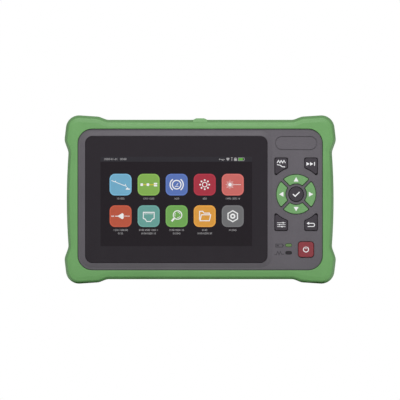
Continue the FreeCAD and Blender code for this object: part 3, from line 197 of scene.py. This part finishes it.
def laminate(name, colour):
    """Solder-masked board with tracks under the mask."""
    made = Finish(name, coat_weight=0.5, coat_roughness=0.15)
    tracks = made.nodes.new("ShaderNodeTexBrick")
    tracks.inputs["Scale"].default_value = 180
    tracks.inputs["Mortar Size"].default_value = 0.03
    made.links.new(made.place, tracks.inputs["Vector"])
    paint = made.blend(tracks.outputs["Fac"], colour, [channel * 1.6 for channel in colour])
    made.links.new(paint, made.shader.inputs["Base Color"])
    made.rough(0.25, 0.4, 2 * MM)
    made.bump(tracks.outputs["Fac"], 0.02 * MM)
    return made.material


def wound(name, colour):
    """Turns of jacketed fibre, one ridge for each."""
    made = Finish(name, coat_weight=0.2)
    rings = made.nodes.new("ShaderNodeTexWave")
    rings.wave_type = "RINGS"
    rings.rings_direction = "Y"
    rings.inputs["Scale"].default_value = 350
    made.links.new(made.place, rings.inputs["Vector"])
    made.colour(*tones(colour, 0.1), 1 * MM)
    made.rough(0.35, 0.5, 1 * MM)
    made.bump(rings.outputs["Fac"], 0.2 * MM)
    return made.material


GREEN = srgb(109, 163, 98)
KEY_GREEN = srgb(116, 166, 107)
PANEL = srgb(100, 96, 102)
KEY_DARK = srgb(66, 61, 68)
KEY_RED = srgb(142, 62, 69)
# The cover glass's black print is lifted above its own darkness, so its colour carries a painted reflection
# of the bright surroundings on top of the glass's real gloss.
GLASS_BLACK_AND_PAINTED_REFLECTION = (0.0280, 0.0235, 0.0290)
# The display's black and its top bar are likewise lifted above their own darkness, so their colour carries
# a painted reflection of the bright surroundings on top of the real gloss.
SCREEN_BLACK_AND_PAINTED_REFLECTION = (0.0175, 0.0135, 0.0175)
BAR_BLACK_AND_PAINTED_REFLECTION = (0.0315, 0.0290, 0.0355)
PRINT_WHITE = srgb(248, 248, 250)
GLASS_IOR = 1.3  # coated against glare, so it reflects little

FINISHES = {
    "boot_green": moulded("boot_rubber", GREEN, 0.46, grain=0.02 * MM, specular_ior_level=0.5),
    "housing_grey": moulded("housing_plastic", PANEL, 0.55, specular_ior_level=0.3),
    "cover_black": polished_glass("cover_glass", GLASS_BLACK_AND_PAINTED_REFLECTION),
    "display_panel": moulded("display_panel", srgb(30, 30, 34), 0.3, grain=0.002 * MM),
    "key_dark": moulded("key_silicone_dark", KEY_DARK, 0.6, grain=0.01 * MM, specular_ior_level=0.3),
    "key_green": moulded("key_silicone_green", KEY_GREEN, 0.58, grain=0.01 * MM, specular_ior_level=0.35),
    "key_red": moulded("key_silicone_red", KEY_RED, 0.58, grain=0.01 * MM, specular_ior_level=0.3),
    "lamp_green": lamp_lens("lamp_lens_lit", srgb(100, 132, 79), 0.06),
    "lamp_dark": lamp_lens("lamp_lens_unlit", srgb(49, 45, 49), 0.0),
    "seal_rubber": moulded("seal_rubber", srgb(38, 38, 40), 0.75),
    "steel": brushed("screw_steel", srgb(196, 198, 202), 0.3, (1, 1, 1)),
    "aluminium": brushed("aluminium", srgb(205, 206, 208), 0.38),
    "nickel": brushed("nickel_plate", srgb(190, 186, 178), 0.22, (1, 1, 6)),
    "gold_contact": brushed("gold_plate", srgb(226, 182, 96), 0.25, (1, 1, 8)),
    "board_laminate": laminate("board_laminate", srgb(22, 84, 52)),
    "black_plastic": moulded("black_plastic", srgb(36, 36, 38), 0.5),
    "lamp_chip": moulded("lamp_chip", srgb(232, 230, 214), 0.4, grain=0.002 * MM),
    "ribbon": moulded("flex_ribbon", srgb(170, 98, 40), 0.35, grain=0.004 * MM, coat_weight=0.3),
    "battery_wrap": moulded("battery_wrap", srgb(46, 88, 140), 0.35, grain=0.003 * MM, coat_weight=0.4),
    "fibre_jacket": wound("fibre_jacket", srgb(232, 196, 60)),
}
for piece in frame["record"]["subparts"]:
    for entry in NODES[piece["node"]].material_slots:
        entry.material = FINISHES[piece["material_slot"]]

ink_white = moulded("legend_ink", PRINT_WHITE, 0.5, grain=0.003 * MM, mottle=0.02)
ink_grey = moulded("label_ink", srgb(62, 58, 64), 0.55, grain=0.003 * MM)
screen_black = lit("screen_black", SCREEN_BLACK_AND_PAINTED_REFLECTION, 0.0)
screen_bar = lit("screen_bar", BAR_BLACK_AND_PAINTED_REFLECTION, 0.0)
screen_white = lit("screen_white", srgb(232, 232, 232), 0.1)
screen_text = lit("screen_text", srgb(176, 174, 176), 0.0)
screen_yellow = lit("screen_yellow", srgb(214, 196, 70), 0.0)
screen_green = lit("screen_green", srgb(98, 172, 70), 0.0)


# ---- thin closed solids on a plane ------------------------------------------------------

def add_piece(name, body, shape, materials):
    """A visible piece made from a bmesh, riding on a body of the frame."""
    mesh = bpy.data.meshes.new(name)
    shape.to_mesh(mesh)
    shape.free()
    for material in materials:
        mesh.materials.append(material)
    piece = bpy.data.objects.new(name, mesh)
    bpy.context.scene.collection.objects.link(piece)
    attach(piece, body)
    return piece


SHARPEST_MITRE = 0.4  # cosine of half a corner's turn, past which its mitre grows no longer


class Relief:
    """Flat shapes laid on a plane that faces the front, each a thin closed solid.

    Points are (across, up) in millimetres. A layer is (low, high, slot): how far in front of
    the plane it starts and ends, and which of the piece's material slots paints it.
    """

    def __init__(self, origin, layer):
        self.mesh = bmesh.new()
        self.origin = Vector(origin)
        self.layer = layer

    def corner(self, point, level):
        return self.mesh.verts.new(self.origin + Vector((point[0], -level, point[1])) * MM)

    def plate(self, outline, layer=None):
        """What a closed outline encloses."""
        low, high, slot = layer or self.layer
        back = [self.corner(point, low) for point in outline]
        front = [self.corner(point, high) for point in outline]
        faces = [self.mesh.faces.new(front), self.mesh.faces.new(back[::-1])]
        for step in range(len(outline)):
            following = (step + 1) % len(outline)
            faces.append(self.mesh.faces.new((back[step], back[following], front[following], front[step])))
        for face in faces:
            face.material_index = slot

    def band(self, left, right, layer=None, closed=True):
        """The strip between two lines with as many points each."""
        low, high, slot = layer or self.layer
        rows = [[self.corner(point, level) for point in line] for line, level in (
            (left, high), (right, high), (right, low), (left, low))]
        count = len(left)
        for step in range(count if closed else count - 1):
            following = (step + 1) % count
            for row, other in zip(rows, rows[1:] + rows[:1]):
                face = self.mesh.faces.new((row[step], row[following], other[following], other[step]))
                face.material_index = slot
        if not closed:
            for step in (0, count - 1):
                self.mesh.faces.new([row[step] for row in rows]).material_index = slot

    def stroke(self, points, width, layer=None, closed=False):
        """A line of even width along the points, mitred at its corners."""
        points = [Vector(point) for point in points]
        left, right = [], []
        for step, point in enumerate(points):
            before = points[step - 1] if closed or step > 0 else None
            after = points[(step + 1) % len(points)] if closed or step < len(points) - 1 else None
            ways = [(point - before).normalized()] if before else []
            ways += [(after - point).normalized()] if after else []
            along = sum(ways, Vector((0, 0))).normalized()
            mitre = max(along.dot(ways[0]), SHARPEST_MITRE)
            side = Vector((-along.y, along.x)) * (width / 2 / mitre)
            left.append(point + side)
            right.append(point - side)
        self.band(left, right, layer, closed)

    def build(self, name, body, materials):
        bmesh.ops.recalc_face_normals(self.mesh, faces=self.mesh.faces)
        add_piece(name, body, self.mesh, materials)


def circle(x, y, radius, count=32, start=0.0, share=1.0):
    """Points round a circle, or round a share of it without its last point joined."""
    steps = count if share == 1.0 else count + 1
    angles = [start + TURN * share * step / count for step in range(steps)]
    return [(x + radius * math.cos(angle), y + radius * math.sin(angle)) for angle in angles]


def rounded_box(x, y, width, height, corner, steps=8):
    """A rectangle's outline with round corners, anticlockwise."""
    outline = []
    for quarter, (a, b) in enumerate(((1, 1), (-1, 1), (-1, -1), (1, -1))):
        middle_x = x + a * (width / 2 - corner)
        middle_y = y + b * (height / 2 - corner)
        outline += circle(middle_x, middle_y, corner, steps, TURN / 4 * quarter, 0.25)
    return outline


def box_outline(x, y, width, height):
    return [(x + a * width / 2, y + b * height / 2) for a, b in ((-1, -1), (1, -1), (1, 1), (-1, 1))]


# ---- display ----------------------------------------------------------------------------

SCREEN_WIDTH = 109.2
SCREEN_HEIGHT = 64.4
SCREEN_DROP = 1.4  # the display's middle below the glass's middle
BAR_HEIGHT = 3.6
ICON_PITCH = 20.2
ICON_SHIFT = 0.25
ICON_WIDTH = 15.8
ICON_HEIGHT = 15.6
ICON_CORNER = 3.9
ICON_RIM = 0.8
ROW_DROPS = (20.1, 42.8)  # from the display's top to the middles of the icons
LAYER = 0.02  # how far each layer of the picture stands on the one below
SHEET = (0, LAYER, 0)  # these are layers of a relief: low, high and slot
BAR = (LAYER, LAYER * 2, 1)
ICON_EDGE = (0, LAYER * 1.2, 1)
ICON_GLYPH = (LAYER, LAYER * 2, 2)
ICON_YELLOW = (LAYER, LAYER * 1.5, 3)
MARK = (LAYER * 2, LAYER * 3, 0)
MARK_GREEN = (LAYER * 2, LAYER * 3, 1)

screen_top = SCREEN_HEIGHT / 2
screen_right = SCREEN_WIDTH / 2
bar_middle = screen_top - BAR_HEIGHT / 2
screen_origin = Vector((glass_x, glass_low.y, glass_z - SCREEN_DROP * MM))


def on_screen(across, up, lift=0.0):
    """A place on the display, from its middle and in front of it, in millimetres."""
    return screen_origin + Vector((across, -lift, up)) * MM


def make_screen():
    relief = Relief(screen_origin, SHEET)
    relief.plate(box_outline(0, 0, SCREEN_WIDTH, SCREEN_HEIGHT))
    relief.plate(box_outline(0, bar_middle, SCREEN_WIDTH, BAR_HEIGHT), BAR)
    relief.build("screen_picture", "case", [screen_black, screen_bar])


def icon_trace(draw):
    fall = [(-6.6, 3.0), (-4.3, 2.0), (-3.7, 2.6), (-3.3, 1.7), (3.0, -0.8)]
    end = [(3.5, 0.1), (3.8, -1.1), (4.4, -1.5)]
    draw.stroke(fall + end, 0.45)
    draw.plate([(3.6, -3.6), (6.9, -3.6), (6.2, -2.6), (5.6, -2.9), (5.0, -1.8), (4.3, -2.4)])


def icon_link(draw):
    draw.plate(box_outline(0.1, 0, 10.2, 0.65), ICON_YELLOW)
    for x in (-4.95, -0.5):
        draw.plate(rounded_box(x, 0, 1.9, 1.9, 0.35, 3))
    for y in (-0.75, 0.75):
        draw.plate(rounded_box(5.0, y, 2.5, 1.1, 0.3, 3))


def icon_meter(draw):
    draw.band(circle(0, 0, 3.5), circle(0, 0, 2.7))
    for start in (-0.15, 0.35):
        left = circle(0, 0, 5.15, 16, TURN * start, 0.3)
        right = circle(0, 0, 4.35, 16, TURN * start, 0.3)
        draw.band(left, right, closed=False)
    draw.stroke([(-0.1, -0.4), (1.1, 1.1)], 0.4)
    draw.plate(box_outline(0, -1.2, 2.6, 0.5))


def icon_lamp(draw):
    draw.band(circle(0, 0, 1.95), circle(0, 0, 1.4))
    for x, y in circle(0, 0, 3.25, 8):
        draw.plate(circle(x, y, 0.66, 12))


def icon_beam(draw):
    x = -2.0
    draw.plate(circle(x, 0, 1.2, 20))
    for step in range(1, 16):
        reach = 2.6 if step % 2 else 3.2
        angle = TURN * step / 16
        way = Vector((math.cos(angle), math.sin(angle)))
        start = Vector((x, 0))
        draw.stroke([start + way * 1.3, start + way * reach], 0.18)
    draw.plate(box_outline(2.6, 0, 6.6, 0.3))


def icon_split(draw):
    upper = [(2.2, 1.5), (1.2, 2.2), (-1.8, 0.3), (-4.0, 0.2)]
    cone = upper + [(x, -y) for x, y in reversed(upper)]
    draw.plate(cone)
    for x in (-6.2, -5.2, 3.2, 4.6, 6.0):
        draw.plate(box_outline(x, 0, 0.7, 0.7))


def icon_socket(draw):
    half = [(4.0, 2.8), (4.0, -1.7), (2.7, -2.1), (1.5, -3.8)]
    outline = half + [(0.2 - x, y) for x, y in reversed(half)]
    draw.stroke(outline, 0.6, closed=True)
    for step in range(8):
        draw.plate(box_outline(-2.7 + 0.8 * step, 1.9, 0.25, 1.2))


def icon_lens(draw):
    x, y = 0.65, 0.85
    draw.band(circle(x, y, 3.4), circle(x, y, 2.7))
    for start in (0.05, 0.38, 0.72):
        left = circle(x, y, 2.1, 8, TURN * start, 0.2)
        right = circle(x, y, 1.75, 8, TURN * start, 0.2)
        draw.band(left, right, closed=False)
    draw.stroke([(x - 2.4, y - 2.4), (-3.6, -3.7)], 1.3)


def icon_folder(draw):
    back = [(-3.7, -2.6), (-3.7, 3.5), (-1.4, 3.5), (-0.4, 2.2), (3.4, 2.2), (3.4, 1.4)]
    front = [(-3.4, -3.3), (-2.4, 1.0), (4.3, 1.0), (3.4, -3.3)]
    draw.stroke(back, 0.65)
    draw.stroke(front, 0.65, closed=True)


def icon_nut(draw):
    draw.band(circle(0, 0, 4.4, 6, TURN / 12), circle(0, 0, 3.45, 6, TURN / 12))
    draw.band(circle(0, 0, 1.9), circle(0, 0, 0.8))


ICONS = [
    ("trace", icon_trace, (116, 174, 204)), ("link", icon_link, (133, 177, 86)),
    ("meter", icon_meter, (93, 118, 184)), ("lamp", icon_lamp, (170, 57, 71)),
    ("beam", icon_beam, (206, 109, 104)), ("split", icon_split, (189, 90, 69)),
    ("socket", icon_socket, (107, 163, 155)), ("lens", icon_lens, (116, 170, 90)),
    ("folder", icon_folder, (224, 158, 71)), ("nut", icon_nut, (114, 114, 116)),
]


def icon_place(number):
    """Across and up of an icon's middle on the display; five icons make a row."""
    row, column = divmod(number, 5)
    return ICON_PITCH * (column - 2) + ICON_SHIFT, screen_top - ROW_DROPS[row]


def make_icons():
    rim = ICON_RIM
    edge = rounded_box(0, 0, ICON_WIDTH, ICON_HEIGHT, ICON_CORNER)
    inner = rounded_box(0, 0, ICON_WIDTH - rim * 2, ICON_HEIGHT - rim * 2, ICON_CORNER - rim)
    for number, (name, glyph, colour) in enumerate(ICONS):
        relief = Relief(on_screen(*icon_place(number), LAYER), ICON_GLYPH)
        relief.plate(inner, SHEET)
        relief.band(edge, inner, ICON_EDGE)
        glyph(relief)
        fill = lit("icon_" + name, srgb(*colour), 0.0)
        lighter = lit("icon_%s_rim" % name, srgb(*[channel * 1.08 for channel in colour]), 0.0)
        relief.build("icon_" + name, "case", [fill, lighter, screen_white, screen_yellow])


def make_status_marks():
    """Generic marks in the top bar, from the left: a plug, a fan, an aerial, a lock, a battery."""
    relief = Relief(on_screen(screen_right, bar_middle), MARK)
    relief.stroke([(-23.8, -0.1), (-19.6, -0.1)], 0.3)
    relief.plate(circle(-23.4, -0.1, 0.5, 12))
    relief.stroke([(-22.4, -0.1), (-21.4, -0.9), (-20.4, -0.9)], 0.25)
    relief.plate([(-18.5, 1.0), (-18.5, 0.0), (-17.4, -1.2), (-16.4, 0.0), (-16.4, 1.0)])
    relief.stroke([(-14.6, -1.2), (-14.6, 1.2)], 0.35)
    relief.stroke([(-15.2, 1.2), (-14.0, 1.2)], 0.35)
    relief.plate(rounded_box(-12.0, -0.3, 2.1, 1.7, 0.3, 3))
    shackle = [circle(-12.0, 0.4, radius, 12, 0, 0.5) for radius in (0.85, 0.5)]
    relief.band(*shackle, closed=False)
    relief.plate(box_outline(-8.2, 0, 3.2, 1.6), MARK_GREEN)
    relief.stroke(box_outline(-7.9, 0, 4.2, 2.1), 0.25, closed=True)
    relief.plate(box_outline(-5.6, 0, 0.4, 0.9))
    relief.build("status_marks", "case", [screen_text, screen_green])


SIZE_OF_HEIGHT = 1.4  # a font's size for each unit of a digit's height


def lettering(name, lines, height, origin, material):
    """Plain digits as thin solids on the case; a line is (text, across, up, alignment)."""
    whole = bmesh.new()
    for digits, x, z, alignment in lines:
        curve = bpy.data.curves.new(name, "FONT")
        curve.body = digits
        curve.size = height * MM * SIZE_OF_HEIGHT
        curve.align_x = alignment
        curve.align_y = "CENTER"
        curve.extrude = LAYER / 2 * MM
        curve.resolution_u = 3
        writing = bpy.data.objects.new(name, curve)
        bpy.context.scene.collection.objects.link(writing)
        writing.rotation_euler = (TURN / 4, 0, 0)
        writing.location = Vector(origin) + Vector((x, -LAYER / 2, z)) * MM
        bpy.context.view_layer.update()
        evaluated = writing.evaluated_get(bpy.context.evaluated_depsgraph_get())
        mesh = bpy.data.meshes.new_from_object(evaluated)
        mesh.transform(writing.matrix_world)
        whole.from_mesh(mesh)
        bpy.data.objects.remove(writing)
    bmesh.ops.remove_doubles(whole, verts=whole.verts, dist=MM * 0.001)
    add_piece(name, "case", whole, [material])


NUMBERS = [
    ["131055"], ["1310 1550"], ["1625"], ["650"], ["1490 1550 16"],
    ["1310 1550 80", "0125"], ["0100 0500 1000 1", "0100 0500 10"],
    ["0100 0500 10", "012345"], ["0123", "0100 0200 30"], ["012345"],
]
NUMBER_HEIGHT = 1.35
NUMBER_DROP = 2.3  # from an icon's lower edge to the middle of its first line
LINE_PITCH = 2.4
CLOCK_HEIGHT = 1.5
CLOCK_INSET = 2.6


def make_numbers():
    lines = []
    for number, rows in enumerate(NUMBERS):
        x, z = icon_place(number)
        top = z - ICON_HEIGHT / 2 - NUMBER_DROP
        for step, digits in enumerate(rows):
            lines.append((digits, x, top - LINE_PITCH * step, "CENTER"))
    lettering("icon_numbers", lines, NUMBER_HEIGHT, on_screen(0, 0, LAYER), screen_text)
    clock = [("2000-01-01   00:00", CLOCK_INSET - screen_right, bar_middle, "LEFT")]
    lettering("clock_numbers", clock, CLOCK_HEIGHT, on_screen(0, 0, LAYER * 2), screen_text)


# ---- legends ----------------------------------------------------------------------------

INK = (0, 0.03, 0)
INK_KNOB = (0, 0.042, 0)  # over the line that it slides on


def key_relief(key):
    """A relief on a key's face, about the middle of its box."""
    low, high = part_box(key)
    return Relief(((low.x + high.x) / 2, low.y, (low.z + high.z) / 2), INK)


def make_arrows():
    """A triangle on each ring key, pointing away from the ring's middle."""
    tip, base, half = 12.3, 9.15, 1.75
    corners = [(tip, 0), (base, half), (base, -half)]
    for name, (a, b) in {"up": (0, 1), "down": (0, -1), "left": (-1, 0), "right": (1, 0)}.items():
        key = "arrow_key_" + name
        relief = Relief((pad_x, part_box(key)[0].y, pad_z), INK)
        relief.plate([(u * a - v * b, u * b + v * a) for u, v in corners])
        relief.build("legend_arrow_" + name, key, [ink_white])


def legend_confirm(draw):
    draw.stroke([(-2.3, 0.1), (-0.7, -1.5), (2.5, 1.6)], 0.75)


def legend_trace(draw):
    draw.stroke([(step - 3.0, 4.6 if step % 2 else 2.8) for step in range(7)], 0.5)
    draw.stroke([(-3.0, 1.6), (-0.5, 1.1), (0.5, 0.1), (2.8, -0.1)], 0.55)


def legend_run(draw):
    for x in (-2.4, 0.2):
        draw.plate([(x - 0.9, 0.8), (x + 1.4, 2.1), (x - 0.9, 3.4)])
    draw.plate(box_outline(2.5, 2.1, 0.6, 2.6))


def legend_adjust(draw):
    for z, knob in ((-0.8, 1.4), (-2.2, -1.2), (-3.6, 0.6)):
        draw.plate(box_outline(0, z, 6.0, 0.35))
        draw.plate(rounded_box(knob, z, 0.9, 1.0, 0.3, 3), INK_KNOB)


def legend_back(draw):
    bend = circle(1.4, -2.35, 1.15, 10, TURN / 4, -0.5)[1:]
    draw.stroke([(-1.4, -1.2), (1.4, -1.2), *bend, (-2.4, -3.5)], 0.55)
    draw.plate([(-3.2, -1.2), (-1.4, -2.3), (-1.4, -0.1)])


def legend_power(draw):
    gap = 0.08
    outer, inner = [circle(0, 0, radius, 32, TURN * (0.25 + gap), 1 - gap * 2) for radius in (2.12, 1.5)]
    draw.band(outer, inner, closed=False)
    draw.plate(box_outline(0, 1.25, 0.55, 1.9))


LEGENDS = [
    ("confirm", "centre_key", legend_confirm), ("trace", "key_upper_left", legend_trace),
    ("run", "key_upper_right", legend_run), ("adjust", "key_lower_left", legend_adjust),
    ("back", "key_lower_right", legend_back), ("power", "power_key", legend_power),
]


def make_key_legends():
    """A white pictogram on each key that has one."""
    for name, key, glyph in LEGENDS:
        relief = key_relief(key)
        glyph(relief)
        relief.build("legend_" + name, key, [ink_white])


def label_battery(draw):
    draw.stroke(box_outline(-0.2, -0.3, 5.0, 2.2), 0.5, closed=True)
    draw.plate(box_outline(2.85, -0.3, 0.6, 1.1))
    draw.plate(box_outline(-1.3, -0.3, 1.7, 1.1))


def label_activity(draw):
    wave = [(-3.6, -1.4), (-2.2, -1.4), (-1.3, 1.0), (-0.3, -1.4), (0.6, 1.0), (1.5, -1.0), (3.2, -1.0)]
    draw.stroke(wave, 0.5)


LABELS = [("battery", "light_pipe_upper", label_battery), ("activity", "light_pipe_lower", label_activity)]
LABEL_GAP = 4.4  # from a lamp's left edge to the middle of its label
LAMP_STAND = 0.1  # how far the lamps' faces stand in front of the panel


def make_lamp_labels():
    """Faint printed marks on the panel beside the two lamps."""
    panel_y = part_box("light_pipe_upper")[0].y + LAMP_STAND * MM
    for name, lamp, glyph in LABELS:
        low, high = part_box(lamp)
        relief = Relief((low.x - LABEL_GAP * MM, panel_y, (low.z + high.z) / 2), INK)
        glyph(relief)
        relief.build("label_" + name, "case", [ink_grey])


# ---- screws -----------------------------------------------------------------------------

class Turned:
    """Round solids about parallel axes, each from a profile of (radius, level) in millimetres."""

    ROUND = 36
    RIDGE = 0.2  # a thread's ridge over its root
    POINT = 0.4
    NECK = 0.5  # bare shaft under the head

    def __init__(self, along, across):
        self.mesh = bmesh.new()
        self.along = Vector(along)
        self.across = Vector(across)
        self.third = self.along.cross(self.across)

    def ring(self, spot, radii, level):
        rim = []
        for step, radius in enumerate(radii):
            angle = TURN * step / len(radii)
            way = self.across * math.cos(angle) + self.third * math.sin(angle)
            rim.append(self.mesh.verts.new(spot + (way * radius + self.along * level) * MM))
        return rim

    def solid(self, spot, rows):
        """Rings joined in turn, closed at both ends; each row is (radii, level)."""
        rims = [self.ring(spot, radii, level) for radii, level in rows]
        for low, high in zip(rims, rims[1:]):
            for step in range(len(low)):
                following = (step + 1) % len(low)
                self.mesh.faces.new((low[step], low[following], high[following], high[step]))
        self.mesh.faces.new(rims[0][::-1])
        self.mesh.faces.new(rims[-1])

    def screw(self, spot, shaft_radius, head_radius, head_height, length):
        """A pan head with a six-lobed recess over a ridged shaft; spot is the head's top."""
        def plain(radius):
            return [radius] * self.ROUND

        angles = [TURN * step / self.ROUND for step in range(self.ROUND)]
        lobed = [head_radius * (0.5 + 0.07 * math.cos(angle * 6)) for angle in angles]
        root = shaft_radius - self.RIDGE
        rows = [(plain(root * 0.5), -length), (plain(root), self.POINT - length)]
        pitch = shaft_radius * 0.5
        for turn in range(int((length - head_height - self.POINT - self.NECK) / pitch)):
            level = self.POINT - length + pitch * turn
            rows += [(plain(shaft_radius), level + pitch * 0.4), (plain(root), level + pitch * 0.9)]
        rows += [(plain(root), -head_height), (plain(head_radius), -head_height)]
        rows += [(plain(head_radius), -head_height * 0.35), (plain(head_radius * 0.94), -head_height * 0.1)]
        rows += [(plain(head_radius * 0.84), 0), (lobed, 0), (lobed, -head_height * 0.6)]
        self.solid(spot, rows)

    def build(self, name, body, material, node):
        bmesh.ops.recalc_face_normals(self.mesh, faces=self.mesh.faces)
        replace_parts(add_piece(name, body, self.mesh, [material]), node)


# node: (body, way that the heads face, head radius, head height, shaft radius)
SCREWS = {
    "case_screws": ("case", (0, 1, 0), 2.4, 1.8, 1.25),
    "battery_door_screws": ("door", (0, 1, 0), 1.7, 1.2, 0.9),
    "display_screws": ("case", (0, 1, 0), 1.7, 1.2, 0.9),
    "board_screws": ("case", (0, -1, 0), 1.7, 1.2, 0.9),
    "port_plate_screws": ("case", (0, 0, 1), 1.7, 1.2, 0.9),
}


def spots_between(low, high, inset):
    """The middles of the screws at both ends of a node's box, or of the one that fills it."""
    return sorted({round(low + inset * MM, 6), round(high - inset * MM, 6)})


def make_screws():
    for node, (body, facing, head, height, shaft) in SCREWS.items():
        low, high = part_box(node)
        along = 2 if facing[2] else 1
        across = 3 - along
        length = (high - low)[along] / MM
        turned = Turned(facing, (1, 0, 0))
        for x in spots_between(low.x, high.x, head):
            for level in spots_between(low[across], high[across], head):
                spot = Vector((x, 0, 0))
                spot[along] = high[along] if sum(facing) > 0 else low[along]
                spot[across] = level
                turned.screw(spot, shaft, head, height, length)
        turned.build(node + "_turned", body, FINISHES["steel"], node)


# ---- floor, light and camera ------------------------------------------------------------

def seen_directly(nodes, links):
    """1 for rays from the camera, straight or through glass, and 0 for the light's own bounces."""
    path = nodes.new("ShaderNodeLightPath")
    either = nodes.new("ShaderNodeMath")
    either.operation = "MAXIMUM"
    links.new(path.outputs["Is Camera Ray"], either.inputs[0])
    links.new(path.outputs["Is Transmission Ray"], either.inputs[1])
    return either.outputs[0]


FLOOR_WIDTH = 4.0
FLOOR_BOUNCE = (0.89, 0.89, 0.89)  # what the light's bounces find, darker than what the camera sees
FLOOR_SEEN = (0.97, 0.97, 0.97)
WORLD_BOUNCE = 0.35
WORLD_SEEN = 1.0


def make_floor():
    mesh = bpy.data.meshes.new("floor")
    corners = box_outline(0, 0, FLOOR_WIDTH, FLOOR_WIDTH)
    mesh.from_pydata([(x, y, cad_low.z) for x, y in corners], [], [(0, 1, 2, 3)])
    floor = bpy.data.objects.new("floor", mesh)
    bpy.context.scene.collection.objects.link(floor)
    paint = Finish("floor_paint", roughness=0.9, specular_ior_level=0.0)
    share = seen_directly(paint.nodes, paint.links)
    colour = paint.blend(share, FLOOR_BOUNCE, FLOOR_SEEN)
    paint.links.new(colour, paint.shader.inputs["Base Color"])
    mesh.materials.append(paint.material)


def make_world():
    world = bpy.data.worlds.new("studio")
    bpy.context.scene.world = world
    world.use_nodes = True
    nodes, links = world.node_tree.nodes, world.node_tree.links
    strength = nodes.new("ShaderNodeMapRange")
    strength.inputs["To Min"].default_value = WORLD_BOUNCE
    strength.inputs["To Max"].default_value = WORLD_SEEN
    links.new(seen_directly(nodes, links), strength.inputs["Value"])
    links.new(strength.outputs["Result"], nodes["Background"].inputs["Strength"])
    nodes["Background"].inputs["Color"].default_value = (1, 1, 1, 1)


def make_lamp(name, direction, distance, size, power, mirrored=True):
    """A soft square lamp aimed at the set's middle; mirrored says whether glossy faces show it."""
    light = bpy.data.lights.new(name, "AREA")
    light.size = size
    light.energy = power
    lamp = bpy.data.objects.new(name, light)
    bpy.context.scene.collection.objects.link(lamp)
    way = Vector(direction).normalized()
    lamp.location = middle + way * distance
    lamp.rotation_euler = way.to_track_quat("Z", "Y").to_euler()
    lamp.visible_glossy = mirrored


VIEW_WIDTH = 0.2881
VIEW_DISTANCE = 1.0
VIEW_SHIFT = (-0.14, -0.36)  # right and up of the set's middle, in millimetres


def make_camera():
    """Square on to the front, without perspective."""
    data = bpy.data.cameras.new("camera")
    data.type = "ORTHO"
    data.ortho_scale = VIEW_WIDTH
    data.clip_end = 10
    camera = bpy.data.objects.new("camera", data)
    bpy.context.scene.collection.objects.link(camera)
    right, up = VIEW_SHIFT
    camera.location = (right * MM, middle.y - VIEW_DISTANCE, middle.z + up * MM)
    camera.rotation_euler = (TURN / 4, 0, 0)
    bpy.context.scene.camera = camera


make_screen()
make_icons()
make_status_marks()
make_numbers()
make_arrows()
make_key_legends()
make_lamp_labels()
make_screws()
make_floor()
make_world()
make_lamp("key_light", (0.0, -1.0, 0.8), distance=1.2, size=0.6, power=6.5)
make_lamp("front_light", (0.0, -1.0, 0.1), distance=1.5, size=1.5, power=4.0, mirrored=False)
make_lamp("back_light", (0.3, 1.0, 0.3), distance=1.5, size=0.8, power=8.0, mirrored=False)
make_camera()
bpy.context.scene.view_settings.view_transform = "Standard"
